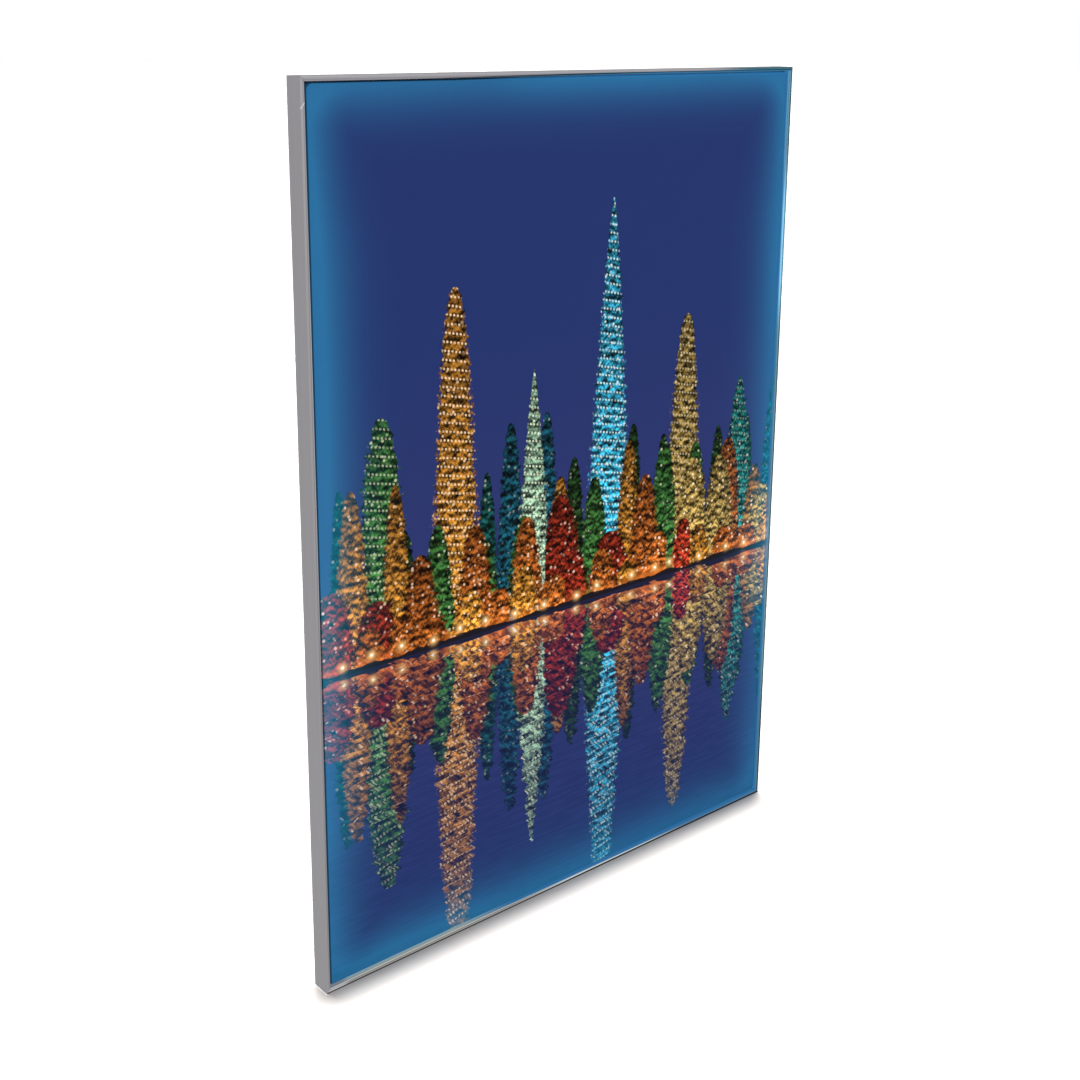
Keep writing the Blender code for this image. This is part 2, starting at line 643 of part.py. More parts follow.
def hangers():
    """Two keyhole plates behind the top profile, each clamped to a slider in its slot."""
    entry_y = KEYHOLE_FROM_END + KEYHOLE_ENTRY / 2 - HANGER_HEIGHT / 2
    plate_outline = rounded_rectangle(HANGER_WIDTH, HANGER_HEIGHT, HANGER_CORNER_RADIUS)
    plate = outline_mesh("hanger", [plate_outline, keyhole(0, entry_y)], HANGER_THICKNESS)
    hole = CLAMP_SHANK + 2 * CLAMP_HOLE_GAP
    slider_width = SLOT_CHAMBER_WIDTH - 2 * SEAT_GAP
    slider_outline = rounded_rectangle(SLIDER_LENGTH, slider_width, SLIDER_CORNER_RADIUS)
    slider = outline_mesh("hanger_slider", [slider_outline, circle((0, 0), hole / 2)], SLIDER_THICKNESS)
    slider_back = SLOT_LIP_FRONT - SEAT_GAP
    tip = slider_back - SLIDER_THICKNESS
    top = OVERALL_DEPTH - tip
    head, shank = CLAMP_HEAD / 2, CLAMP_SHANK / 2
    clamp_profile = [(0, top), (head, top), (shank, top - CLAMP_HEAD_HEIGHT), (shank, 0), (0, 0)]
    clamp = turned_mesh("hanger_clamp_screw", clamp_profile)
    clamp_z = FRAME_HEIGHT - SLOT_CENTRE
    plate_z = FRAME_HEIGHT - HANGER_FROM_TOP - HANGER_HEIGHT / 2
    for side, x in (("left", -HANGER_FROM_CENTRE), ("right", HANGER_FROM_CENTRE)):
        plate_back = FRONT_Y + OVERALL_DEPTH
        plate_middle = (x, plate_back - HANGER_THICKNESS / 2, plate_z)
        hanger = place(f"hanger_plate_{side}", plate, STEEL, upright(plate_middle))
        through = cylinder_cutter(
            f"clamp_hole_{side}", hole, 2 * HANGER_THICKNESS, [facing_back((x, plate_back, clamp_z))]
        )
        sink_middle = (x, plate_back - CLAMP_HEAD_HEIGHT / 2, clamp_z)
        sink = cylinder_cutter(
            f"clamp_sink_{side}",
            hole,
            CLAMP_HEAD_HEIGHT,
            [facing_back(sink_middle)],
            CLAMP_HEAD + 2 * CLAMP_HOLE_GAP,
        )
        boolean(boolean(hanger, through), sink)
        slider_middle = (x, FRONT_Y + slider_back - SLIDER_THICKNESS / 2, clamp_z)
        place(f"hanger_slider_{side}", slider, STEEL, upright(slider_middle))
        place(f"hanger_clamp_screw_{side}", clamp, STEEL, facing_back((x, FRONT_Y + tip, clamp_z)))


def bumpers():
    """Rubber buttons pressed into the slots of the upright profiles."""
    stem = SLOT_MOUTH / 2 - SEAT_GAP
    head = BUMPER_DIAMETER / 2
    top = BUMPER_STEM_LENGTH + HANGER_THICKNESS
    profile = [(0, top), (head - BUMPER_BEVEL, top), (head, top - BUMPER_BEVEL), (head, BUMPER_STEM_LENGTH)]
    profile += [(stem, BUMPER_STEM_LENGTH), (stem, 0), (0, 0)]
    mesh = turned_mesh("bumper", profile)
    for side, x_sign in (("left", -1), ("right", 1)):
        point = (x_sign * (FRAME_WIDTH / 2 - SLOT_CENTRE), FRONT_Y + HANGER_FRONT - BUMPER_STEM_LENGTH)
        place(f"bumper_{side}", mesh, BLACK_RUBBER, facing_back((*point, BUMPER_FROM_CORNER)))


def boss_points():
    """World (x, z) of the two screw bosses in opposite corners of the power box."""
    reach_x = BOX_WIDTH / 2 - BOSS_INSET
    reach_z = BOX_HEIGHT / 2 - BOSS_INSET
    return [(BOX_X - reach_x, BOX_Z + reach_z), (BOX_X + reach_x, BOX_Z - reach_z)]


def power_box():
    """A shallow box on the back panel, with screw bosses, a notch for the inlet and a hole for the lead."""
    outer = rounded_rectangle(BOX_WIDTH, BOX_HEIGHT, BOX_CORNER_RADIUS)
    inside_width = BOX_WIDTH - 2 * BOX_WALL
    inside_height = BOX_HEIGHT - 2 * BOX_WALL
    inner = rounded_rectangle(inside_width, inside_height, BOX_CORNER_RADIUS - BOX_WALL)
    middle = Vector((BOX_X, FRONT_Y + BOX_FRONT + BOX_DEPTH / 2, BOX_Z))
    box = place("power_box", outline_mesh("power_box", [outer], BOX_DEPTH), BLACK_PLASTIC, upright(middle))
    hollow_mesh = outline_mesh("power_box_hollow", [inner], BOX_DEPTH)
    hollow_stand = upright(middle + Vector((0, BOX_FLOOR, 0)))
    boolean(box, as_tool(place("power_box_hollow", hollow_mesh, BLACK_PLASTIC, hollow_stand, TOOLS)))

    boss_length = BOX_DEPTH - BOX_FLOOR / 2
    boss_matrices = [facing_back((x, FRONT_Y + BOX_BACK - boss_length / 2, z)) for x, z in boss_points()]
    boolean(box, cylinder_cutter("bosses", BOSS_DIAMETER, boss_length, boss_matrices), "UNION")
    hole = COVER_SCREW_SHANK + 2 * COVER_SCREW_HOLE_GAP
    boss_tops = [facing_back((x, FRONT_Y + BOX_BACK, z)) for x, z in boss_points()]
    reach = COVER_SCREW_LENGTH + COVER_SCREW_HOLE_GAP
    boolean(box, cylinder_cutter("boss_holes", hole, 2 * reach, boss_tops))

    notch = INLET_DIAMETER / 2 + SEAT_GAP
    low = (BOX_X - notch, FRONT_Y + BOX_INSIDE - SEAT_GAP, BOX_FROM_BOTTOM - OVERRUN)
    high = (BOX_X + notch, FRONT_Y + BOX_BACK + OVERRUN, BOX_FROM_BOTTOM + BOX_WALL + OVERRUN)
    boolean(box, as_tool(block("inlet_notch", low, high, BLACK_PLASTIC, collection=TOOLS)))
    lead_hole = facing_back((lead_hole_x(), FRONT_Y + BOX_FRONT + BOX_FLOOR / 2, BOX_Z))
    boolean(box, cylinder_cutter("lead_hole", LEAD_SLOT_WIDTH, BOX_FLOOR + 2 * OVERRUN, [lead_hole]))


def power_box_cover():
    """The box's lid and its two screws."""
    outer = rounded_rectangle(BOX_WIDTH, BOX_HEIGHT, BOX_CORNER_RADIUS)
    hole = COVER_SCREW_SHANK / 2 + COVER_SCREW_HOLE_GAP
    holes = [circle((x - BOX_X, z - BOX_Z), hole) for x, z in boss_points()]
    mesh = outline_mesh("power_box_cover", [outer, *holes], BOX_COVER_THICKNESS)
    cover_front = BOX_BACK + SEAT_GAP
    cover_back = cover_front + BOX_COVER_THICKNESS
    middle = (BOX_X, FRONT_Y + cover_front + BOX_COVER_THICKNESS / 2, BOX_Z)
    place("power_box_cover", mesh, BLACK_PLASTIC, upright(middle))

    seat = COVER_SCREW_LENGTH + BOX_COVER_THICKNESS
    head, shank = COVER_SCREW_HEAD / 2, COVER_SCREW_SHANK / 2
    crown = seat + COVER_SCREW_HEAD_HEIGHT
    profile = [(0, crown), (shank, crown), (head, seat), (shank, seat), (shank, 0), (0, 0)]
    screw = turned_mesh("cover_screw", profile)
    tip = FRONT_Y + cover_back + SEAT_GAP - seat
    for number, (x, z) in enumerate(boss_points(), 1):
        place(f"cover_screw_{number}", screw, STEEL, facing_back((x, tip, z)))


def power_inlet():
    """A round socket with a centre pin, which points down, and the small board behind it."""
    mouth = INLET_LENGTH
    floor = mouth - INLET_BORE_DEPTH
    pin_end = mouth - INLET_PIN_SETBACK
    profile = [(0, pin_end), (INLET_PIN / 2, pin_end), (INLET_PIN / 2, floor), (INLET_BORE / 2, floor)]
    profile += [(INLET_BORE / 2, mouth), (INLET_DIAMETER / 2, mouth), (INLET_DIAMETER / 2, 0), (0, 0)]
    inner_end = BOX_FROM_BOTTOM - INLET_PROUD + INLET_LENGTH
    axis = (BOX_X, FRONT_Y + BOX_INSIDE + INLET_DIAMETER / 2, inner_end)
    mouth_down = Matrix.Translation(axis) @ Matrix.Rotation(math.pi, 4, "X")
    place("power_inlet", turned_mesh("power_inlet", profile), BLACK_PLASTIC, mouth_down)
    low = (BOX_X - JUNCTION_WIDTH / 2, FRONT_Y + BOX_INSIDE, inner_end + SEAT_GAP)
    high = (BOX_X + JUNCTION_WIDTH / 2, low[1] + JUNCTION_THICKNESS, low[2] + JUNCTION_HEIGHT)
    block("junction_board", low, high, GREEN_BOARD)


def lead_hole_x():
    """World x of the hole in the power box's floor and of the inner end of the back panel's slot."""
    return BOX_X + BOX_WIDTH / 2 - LEAD_HOLE_FROM_SIDE


def feed_lead():
    """From the board through the box's floor, along the panel's slot and forward to the LED bar."""
    box_run = BOX_INSIDE + LEAD_DIAMETER / 2
    panel_run = PANEL_FRONT + PANEL_THICKNESS / 2
    step = (box_run - panel_run) / 2
    hole_x = lead_hole_x()
    bar_x = FRAME_WIDTH / 2 - STACK_EDGE - LEAD_DIAMETER / 2
    bar_bend = panel_run - GUIDE_BACK - SEAT_GAP
    plan = [(BOX_X + JUNCTION_WIDTH / 2 + SEAT_GAP, box_run)]
    plan += arc((hole_x - step, box_run - step), step, 90, 0)
    plan += arc((hole_x + step, panel_run + step), step, 180, 270)[1:]
    plan += arc((bar_x - bar_bend, panel_run - bar_bend), bar_bend, 90, 0)
    tube("feed_lead", [(x, FRONT_Y + back, BOX_Z) for x, back in plan], LEAD_DIAMETER, LEAD_JACKET)


def build():
    for side in SIDE_TURNS:
        profile = mitred_profile(side)
        if side == "bottom":
            cut_cable_notch(profile)
        led_bar(side)
    corner_brackets()
    back_panel()
    panel_screws()
    stack_sheet("reflector_sheet", GUIDE_EDGE, REFLECTOR_FRONT, REFLECTOR_THICKNESS, WHITE_FILM)
    stack_sheet("light_guide", GUIDE_EDGE, GUIDE_FRONT, GUIDE_THICKNESS, ACRYLIC)
    stack_sheet("diffuser_sheet", STACK_EDGE, DIFFUSER_FRONT, DIFFUSER_THICKNESS, OPAL)
    led_jumpers()
    print_with_strips()
    hangers()
    bumpers()
    power_box()
    power_box_cover()
    power_inlet()
    feed_lead()


build()
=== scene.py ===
# %% [markdown]
# # A lit poster frame, dressed for its portrait
#
# The object is a slim aluminium frame that holds an A1 textile print in front of a light guide. Its solids
# come from CAD with the right size and place, but in flat colours. This notebook gives every surface its
# finish, swaps a few plain solids for finer pieces, and sets up the camera, the floor and the light.
#
# Everything is in metres. Z is up, the front faces -Y, and the origin is the middle of the footprint.

# %% Load the frame
import collections
import math

import bmesh
import bpy
from mathutils import Euler, Matrix, Vector


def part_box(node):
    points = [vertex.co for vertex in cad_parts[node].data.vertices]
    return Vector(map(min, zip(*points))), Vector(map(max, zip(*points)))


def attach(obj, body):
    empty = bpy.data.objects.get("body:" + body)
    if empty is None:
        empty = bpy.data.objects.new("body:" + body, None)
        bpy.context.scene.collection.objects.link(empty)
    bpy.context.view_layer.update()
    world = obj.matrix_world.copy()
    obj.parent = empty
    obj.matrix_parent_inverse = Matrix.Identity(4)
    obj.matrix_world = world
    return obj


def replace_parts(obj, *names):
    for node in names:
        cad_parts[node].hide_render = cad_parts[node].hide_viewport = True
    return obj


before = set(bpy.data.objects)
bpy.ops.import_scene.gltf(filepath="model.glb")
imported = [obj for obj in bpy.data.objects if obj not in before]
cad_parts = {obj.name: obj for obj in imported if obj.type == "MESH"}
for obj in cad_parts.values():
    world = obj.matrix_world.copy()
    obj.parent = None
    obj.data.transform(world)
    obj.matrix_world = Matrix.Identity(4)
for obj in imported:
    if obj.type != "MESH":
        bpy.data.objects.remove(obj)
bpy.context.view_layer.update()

MM = 0.001

# %% [markdown]
# ## A short way to wire nodes
#
# A procedural material is a graph: small nodes that each do one thing. Adding and linking them one by one
# takes five lines a node, so these classes do it in one call. A Signal stands for what a socket puts out, and
# a sum with it adds a Math node, so that nodes read like sums.


# %% Signals
class Signal:
    """What one socket puts out."""

    def __init__(self, graph, socket):
        self.graph, self.socket = graph, socket

    def __add__(self, other):
        return self.graph.math("ADD", self, other)

    def __sub__(self, other):
        return self.graph.math("SUBTRACT", self, other)

    def __rsub__(self, other):
        return self.graph.math("SUBTRACT", other, self)

    def __mul__(self, other):
        return self.graph.math("MULTIPLY", self, other)

    def __truediv__(self, other):
        return self.graph.math("DIVIDE", self, other)

    def __pow__(self, other):
        return self.graph.math("POWER", self, other)

    def __lt__(self, other):
        return self.graph.math("LESS_THAN", self, other)

    def __gt__(self, other):
        return self.graph.math("GREATER_THAN", self, other)

    def __abs__(self):
        return self.graph.math("ABSOLUTE", self)


class Outputs:
    """All that a node puts out, by name or by number."""

    def __init__(self, graph, sockets):
        self.graph, self.sockets = graph, sockets

    def __getitem__(self, key):
        return Signal(self.graph, self.sockets[key])


# %% Graphs
class Graph:
    """Adds nodes to one node tree and returns what they put out."""

    def __init__(self, tree):
        self.tree = tree

    def feed(self, socket, value):
        if isinstance(value, Signal):
            self.tree.links.new(value.socket, socket)
        else:
            socket.default_value = value

    def node(self, kind, inputs=None, **settings):
        made = self.tree.nodes.new("ShaderNode" + kind)
        for key, value in settings.items():
            setattr(made, key, value)
        for key, value in (inputs or {}).items():
            self.feed(made.inputs[key], value)
        return Outputs(self, made.outputs)

    def math(self, operation, *values):
        return self.node("Math", dict(enumerate(values)), operation=operation)[0]

    def largest(self, first, second):
        return self.math("MAXIMUM", first, second)

    def smallest(self, first, second):
        return self.math("MINIMUM", first, second)

    def ramp(self, value, start, end, low=0.0, high=1.0):
        """Goes smoothly from low to high while value goes from start to end."""
        inputs = dict(enumerate((value, start, end, low, high)))
        return self.node("MapRange", inputs, interpolation_type="SMOOTHSTEP")[0]

    def near(self, value, middle, reach, core, high=1.0):
        """High while value is within core of middle, and 0 beyond reach of it."""
        return self.ramp(abs(value - middle), reach, core, 0.0, high)

    def mix(self, factor, first, second, blend="MIX"):
        inputs = {0: factor, 6: first, 7: second}
        return self.node("Mix", inputs, data_type="RGBA", blend_type=blend)[2]

    def mix_shaders(self, factor, first, second):
        return self.node("MixShader", {0: factor, 1: first, 2: second})[0]

    def combine(self, x=0.0, y=0.0, z=0.0):
        return self.node("CombineXYZ", {"X": x, "Y": y, "Z": z})[0]

    def grey(self, value):
        return self.combine(value, value, value)

    def separate(self, vector):
        return self.node("SeparateXYZ", {0: vector})

    def length(self, x, y):
        return self.node("VectorMath", {0: self.combine(x, y)}, operation="LENGTH")["Value"]

    def noise(self, vector, scale, detail=2.0, roughness=0.5):
        inputs = {"Vector": vector, "Scale": scale, "Detail": detail, "Roughness": roughness}
        return self.node("TexNoise", inputs)["Fac"]

    def bump(self, height, strength, distance):
        return self.node("Bump", {"Strength": strength, "Distance": distance, "Height": height})[0]

    def place(self):
        return self.node("TexCoord")["Object"]


# %% Groups and materials
def new_group(name, inputs, outputs):
    """A node group. A default is a number, a colour, or None for a vector. Only Color puts out a colour."""
    tree = bpy.data.node_groups.new(name, "ShaderNodeTree")
    for label, default in inputs.items():
        kind = "Vector" if default is None else "Color" if isinstance(default, tuple) else "Float"
        socket = tree.interface.new_socket(name=label, in_out="INPUT", socket_type="NodeSocket" + kind)
        if default is not None:
            socket.default_value = default
    for label in outputs:
        kind = "Color" if label == "Color" else "Float"
        tree.interface.new_socket(name=label, in_out="OUTPUT", socket_type="NodeSocket" + kind)
    graph = Graph(tree)
    given = Outputs(graph, tree.nodes.new("NodeGroupInput").outputs)
    return graph, given, tree.nodes.new("NodeGroupOutput").inputs


def use_group(graph, name, **inputs):
    """Place a group in a graph with its own values, and return what it puts out."""
    made = graph.tree.nodes.new("ShaderNodeGroup")
    made.node_tree = bpy.data.node_groups[name]
    for key, value in inputs.items():
        graph.feed(made.inputs[key.replace("_", " ")], value)
    return Outputs(graph, made.outputs)


def new_material(name, **fixed):
    """A material with one Principled shader. fixed holds the values that are the same all over it."""
    material = bpy.data.materials.new(name)
    material.use_nodes = True
    shader = material.node_tree.nodes["Principled BSDF"].inputs
    for key, value in fixed.items():
        shader[key.replace("_", " ")].default_value = value
    return material, Graph(material.node_tree), shader


# %% [markdown]
# ## Camera
#
# The photograph was taken from the left and a little above the middle, with a normal lens. Its place, turn
# and shift were fitted to the corners of the frame, so that the printed pixels below can be checked against
# the picture. A shift moves the image on the film without turning the upright lines, as a view camera does.

# %% Place the camera
PHOTO_SIDE = 1080
SENSOR = 36
CAMERA_PLACE = (-0.98092, -1.12394, 0.91306)
CAMERA_TURN = (75.4185, -1.0734, -42.1621)
CAMERA_LENS = 51.65
CAMERA_SHIFT = (-0.05751, -0.1241)


def turn(*degrees):
    return Euler([math.radians(angle) for angle in degrees], "XYZ")


def add_to_scene(name, data):
    obj = bpy.data.objects.new(name, data)
    bpy.context.scene.collection.objects.link(obj)
    return obj


def corners_of(node):
    """The lowest and the highest corner of a CAD solid."""
    return [Vector(corner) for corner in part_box(node)]


lens = bpy.data.cameras.new("portrait_lens")
lens.sensor_width = SENSOR
lens.lens = CAMERA_LENS
lens.shift_x, lens.shift_y = CAMERA_SHIFT
camera = add_to_scene("portrait_camera", lens)
camera.location = CAMERA_PLACE
camera.rotation_euler = turn(*CAMERA_TURN)
bpy.context.scene.camera = camera
bpy.context.view_layer.update()


def pixel_of(point):
    """Where a point of the room falls in the square photograph, from its top left."""
    seen = camera.matrix_world.inverted() @ Vector(point)
    scale = CAMERA_LENS / SENSOR / -seen.z
    across = 0.5 + seen.x * scale - CAMERA_SHIFT[0]
    down = 0.5 - seen.y * scale + CAMERA_SHIFT[1]
    return round(across * PHOTO_SIDE, 1), round(down * PHOTO_SIDE, 1)


(left_edge, FRONT, floor_level), (_, _, TOP) = corners_of("left_profile")
HALF_WIDTH = corners_of("right_profile")[1].x
for label, x, z in (
    ("top left", left_edge, TOP),
    ("top right", HALF_WIDTH, TOP),
    ("bottom right", HALF_WIDTH, floor_level),
    ("bottom left", left_edge, floor_level),
):
    print(label, pixel_of((x, FRONT, z)))

# %% [markdown]
# ## Room
#
# A product photograph on white has a pale floor, a white surround and one short, soft shadow. The floor here
# is a plain matt surface. Two thin lines at the foot of the frame are painted into its colour: a painted
# shadow, dark, just in front of the lower lip, where no light gets under it, and a painted highlight, bright,
# beside the left corner, for the light that the polished edge throws on the floor. The world gives a low even
# light, but looks white to the camera and in reflections, which Light Path tells apart, so the metal mirrors
# the white surround without being lit more.

# %% Floor
FLOOR_SIDE = 40
FLOOR_COLOUR = (0.590, 0.564, 0.541, 1)
PAINTED_CONTACT_SHADOW = (0.012, 0.013, 0.015, 1)
CONTACT_REACH = 1.2 * MM
CONTACT_MIDDLE = 9.5 * MM
CONTACT_HALF = 11 * MM
BRIGHT_LINE = 1.2 * MM
PAINTED_BRIGHT_LINE_COLOUR = (0.95, 0.95, 0.95, 1)
PURE_WHITE = (1, 1, 1, 1)


def as_object(name, shape, material):
    """Turn a bmesh into a smooth object at the origin."""
    mesh = bpy.data.meshes.new(name)
    shape.to_mesh(mesh)
    shape.free()
    mesh.shade_smooth()
    mesh.materials.append(material)
    return add_to_scene(name, mesh)


def only_seen(graph):
    """1 for a ray that was reflected or went through glass, and 1 for such a ray or the camera's own."""
    path = graph.node("LightPath")
    reflected = graph.largest(path["Is Glossy Ray"], path["Is Transmission Ray"])
    return reflected, graph.largest(reflected, path["Is Camera Ray"])


floor_paint, graph, shader = new_material("matt_floor_paint", Roughness=1.0, Specular_IOR_Level=0.0)
x, y, _ = graph.separate(graph.place())
before_lip = FRONT - y
in_depth = abs(before_lip + CONTACT_MIDDLE) < CONTACT_HALF
# Painted shadow: the floor turns dark just in front of the lower lip. Painted highlight: a bright line beside
# the left corner.
painted_contact_shadow = in_depth * (abs(x) < HALF_WIDTH) * graph.ramp(before_lip, CONTACT_REACH, CONTACT_REACH / 3)
line = in_depth * graph.near(-HALF_WIDTH - x, BRIGHT_LINE, BRIGHT_LINE, BRIGHT_LINE / 2)
floor_tone = graph.mix(painted_contact_shadow, FLOOR_COLOUR, PAINTED_CONTACT_SHADOW)
graph.feed(shader["Base Color"], graph.mix(line, floor_tone, PAINTED_BRIGHT_LINE_COLOUR))
reflected, _ = only_seen(graph)
matt = Signal(graph, graph.tree.nodes["Principled BSDF"].outputs[0])
white = graph.node("Emission", {"Color": PURE_WHITE})[0]
surface = graph.tree.nodes["Material Output"].inputs["Surface"]
graph.feed(surface, graph.mix_shaders(reflected, matt, white))

shape = bmesh.new()
bmesh.ops.create_grid(shape, x_segments=1, y_segments=1, size=FLOOR_SIDE / 2)
as_object("studio_floor", shape, floor_paint)
print("floor is", FLOOR_SIDE, "m wide")

# %% World
SURROUND_LIGHT = 0.36

world = bpy.data.worlds.new("white_surround")
world.use_nodes = True
bpy.context.scene.world = world
world.node_tree.nodes.clear()
sky = Graph(world.node_tree)
lights_room = sky.node("Background", {"Color": PURE_WHITE, "Strength": SURROUND_LIGHT})[0]
looks_white = sky.node("Background", {"Color": PURE_WHITE})[0]
_, seen = only_seen(sky)
sky.node("OutputWorld", {"Surface": sky.mix_shaders(seen, lights_room, looks_white)})
bpy.context.scene.view_settings.view_transform = "Standard"
print("surround gives", SURROUND_LIGHT, "and looks white")

# %% [markdown]
# ## Lamps
#
# The shadow in the photograph hugs the lower edge and fades within a hand's breadth, so the main lamp stands
# almost straight above the frame, a little behind it and to its right. Two large soft lamps, low on the left
# and right, and one behind, keep every side at a plain level. Sun lamps suit this, because their light has no
# falloff: the angle sets how soft the shadow is.

# %% Lamps
# Name, strength, softness, tilt from straight down and bearing from the front, in degrees
LAMPS = (
    ("overhead", 7.2, 2.9, -1.78, -34),
    ("front_left", 0.70, 60, 62, -30),
    ("front_right", 0.50, 60, 64, 35),
    ("back", 0.25, 60, 62, 185),
)
for name, strength, softness, tilt, bearing in LAMPS:
    lamp = bpy.data.lights.new(name, "SUN")
    lamp.energy = strength
    lamp.angle = math.radians(softness)
    add_to_scene(name, lamp).rotation_euler = turn(tilt, 0, bearing)
    print("lamp", name, "strength", strength)

# %% [markdown]
# ## Shared effects
#
# Four effects turn up on many finishes, so each is a group that is built once: the long die lines that
# extruding leaves on aluminium, a fine grain, brighter metal along edges, which is partly wear and partly a
# painted highlight, and dust that settles where a surface faces up. The edges come from the Bevel node: it
# rounds the normal near an edge, and where the rounded normal differs from the real one there is an edge.

# %% Lines and grain
EDGE_SAMPLES = 6

lines_inputs = {"Place": None, "Fineness": 900.0, "Length": 1.2}
graph, given, result = new_group("extrusion_lines", lines_inputs, ("Lines", "Bands"))
x, y, z = graph.separate(given["Place"])
stretched = graph.combine(x * given["Fineness"], y * given["Fineness"], z * given["Length"])
graph.feed(result["Lines"], graph.noise(stretched, 1.0, 3.0, 0.62))
graph.feed(result["Bands"], graph.noise(stretched, 0.16, 1.0, 0.5))

grain_inputs = {"Place": None, "Size": 0.001, "Roughness": 0.6}
graph, given, result = new_group("fine_grain", grain_inputs, ("Grain", "Clouds"))
scale = graph.math("DIVIDE", 1.0, given["Size"])
graph.feed(result["Grain"], graph.noise(given["Place"], scale, 3.0, given["Roughness"]))
graph.feed(result["Clouds"], graph.noise(given["Place"], scale * 0.02, 3.0, 0.55))
print("group", graph.tree.name, "has", len(graph.tree.nodes), "nodes")

# %% Worn and highlit edges, and dust
wear_inputs = {"Place": None, "Radius": 0.0006, "Amount": 1.0}
# The edge mask serves both wear and a painted highlight along the arrises.
graph, given, result = new_group("worn_and_highlit_edges", wear_inputs, ("Edges",))
rounded = graph.node("Bevel", {"Radius": given["Radius"]}, samples=EDGE_SAMPLES)[0]
true_normal = graph.node("NewGeometry")["True Normal"]
alike = graph.node("VectorMath", {0: rounded, 1: true_normal}, operation="DOT_PRODUCT")["Value"]
patches = graph.ramp(graph.noise(given["Place"], 60.0, 3.0, 0.6), 0.25, 0.7)
graph.feed(result["Edges"], graph.ramp(alike, 0.995, 0.86) * patches * given["Amount"])

dust_inputs = {"Place": None, "Amount": 0.3}
graph, given, result = new_group("settled_dust", dust_inputs, ("Dust",))
facing_up = graph.ramp(graph.separate(graph.node("NewGeometry")["True Normal"])[2], 0.2, 0.95)
specks = graph.ramp(graph.noise(given["Place"], 900.0, 4.0, 0.7), 0.42, 0.75)
drifts = graph.ramp(graph.noise(given["Place"], 22.0, 3.0, 0.6), 0.3, 0.75)
graph.feed(result["Dust"], specks * drifts * facing_up * given["Amount"])
print("effect groups:", sorted(group.name for group in bpy.data.node_groups))

# %% [markdown]
# ## Aluminium profiles
#
# The profiles are extruded, etched and anodised in natural silver: a satin grey with faint lines along its
# length. The metal keeps one metallic value, and the lines change colour, roughness and bump by very little.
# On the narrow lip more is painted into the colour: a lighter face with a faint darker line, painted
# highlight and shade on its face and its two rounded arrises, and on the inner one a painted glow of the
# print, given as emission. Object coordinates tell how far a point lies in from the frame's outer edge, and
# that distance places these tones on each side.
#
# Each side then has a touch of its own. The left lip has a small bright nick near its top. Painted light of
# the print, a painted reflection of its glow, spills over the right lip, and over the far ends of the top and
# bottom lips, which turn teal and blue. The right lip is painted dark at its lower end, and the bottom lip
# has a painted dark shade line along its outer edge and painted light at its left corner.

# %% Tones of the metal
ALUMINIUM_COLOUR = (0.342, 0.332, 0.350, 1)
ALUMINIUM_LIGHT = (0.450, 0.442, 0.455, 1)
ALUMINIUM_DARK = (0.314, 0.305, 0.322, 1)
TOP_FACE_PAINTED_SHADE = (0.235, 0.230, 0.242, 1)
GRAZING_TINT = (0.35, 0.35, 0.35, 1)
LIP_LINE_COLOUR = (0.215, 0.208, 0.226, 1)
DUST_COLOUR = (0.46, 0.45, 0.43, 1)
NO_LIGHT = (0, 0, 0, 1)
SIDES = ("left", "right", "top", "bottom")

# The lip's face beside the print and beside the outer edge, and its outer arris, in tones that hold painted
# highlight and shade. Then the painted light on its inner edge, at the front and deeper in, the painted light
# in a brighter stretch, and that stretch's middle and reach.
LipTonesAndPaintedLight = collections.namedtuple("LipTonesAndPaintedLight", "inner outer arris edge deep bright middle reach")
LIP_TONES_AND_PAINTED_LIGHT = {
    "left": LipTonesAndPaintedLight(
        (0.290, 0.282, 0.296, 1), (0.322, 0.314, 0.328, 1), (0.318, 0.312, 0.322, 1),
        (0.018, 0.022, 0.022, 1), NO_LIGHT, (0.310, 0.295, 0.300, 1), 0.52, 0.26,
    ),
    "right": LipTonesAndPaintedLight(
        (0.088, 0.185, 0.225, 1), (0.034, 0.072, 0.095, 1), (0.018, 0.036, 0.048, 1),
        (0.050, 0.150, 0.220, 1), (0.022, 0.130, 0.280, 1), (0.190, 0.450, 0.650, 1), 0.66, 0.11,
    ),
    "top": LipTonesAndPaintedLight(
        (0.262, 0.256, 0.274, 1), (0.300, 0.294, 0.312, 1), (0.270, 0.264, 0.280, 1),
        (0.060, 0.058, 0.064, 1), NO_LIGHT, (0.150, 0.145, 0.160, 1), -0.26, 0.12,
    ),
    "bottom": LipTonesAndPaintedLight(
        (0.260, 0.265, 0.250, 1), (0.350, 0.345, 0.325, 1), (0.070, 0.073, 0.076, 1),
        (0.190, 0.215, 0.195, 1), (0.180, 0.285, 0.310, 1), (0.230, 0.240, 0.205, 1), -0.20, 0.09,
    ),
}
print("lip tones for", ", ".join(LIP_TONES_AND_PAINTED_LIGHT))

# %% Own touches of each side
# Where a point of the lip is: across and up, in from the outer edge in metres and as a share of the lip, and
# back from its face. Then the masks of its face, its outer arris, its inner edge and all that light meets.
LipPoint = collections.namedtuple("LipPoint", "x z inward share behind face arris edge reached")

LIP_WIDTH = 4 * MM
LIP_ARRIS = 0.9 * MM
NICK_FOOT = 0.8253
NICK_SLOPE = 0.75
NICK_HALF = 0.6 * MM
NICK_END = (3.8 * MM, 3.4 * MM)
NICK_COLOUR = (0.62, 0.60, 0.62, 1)
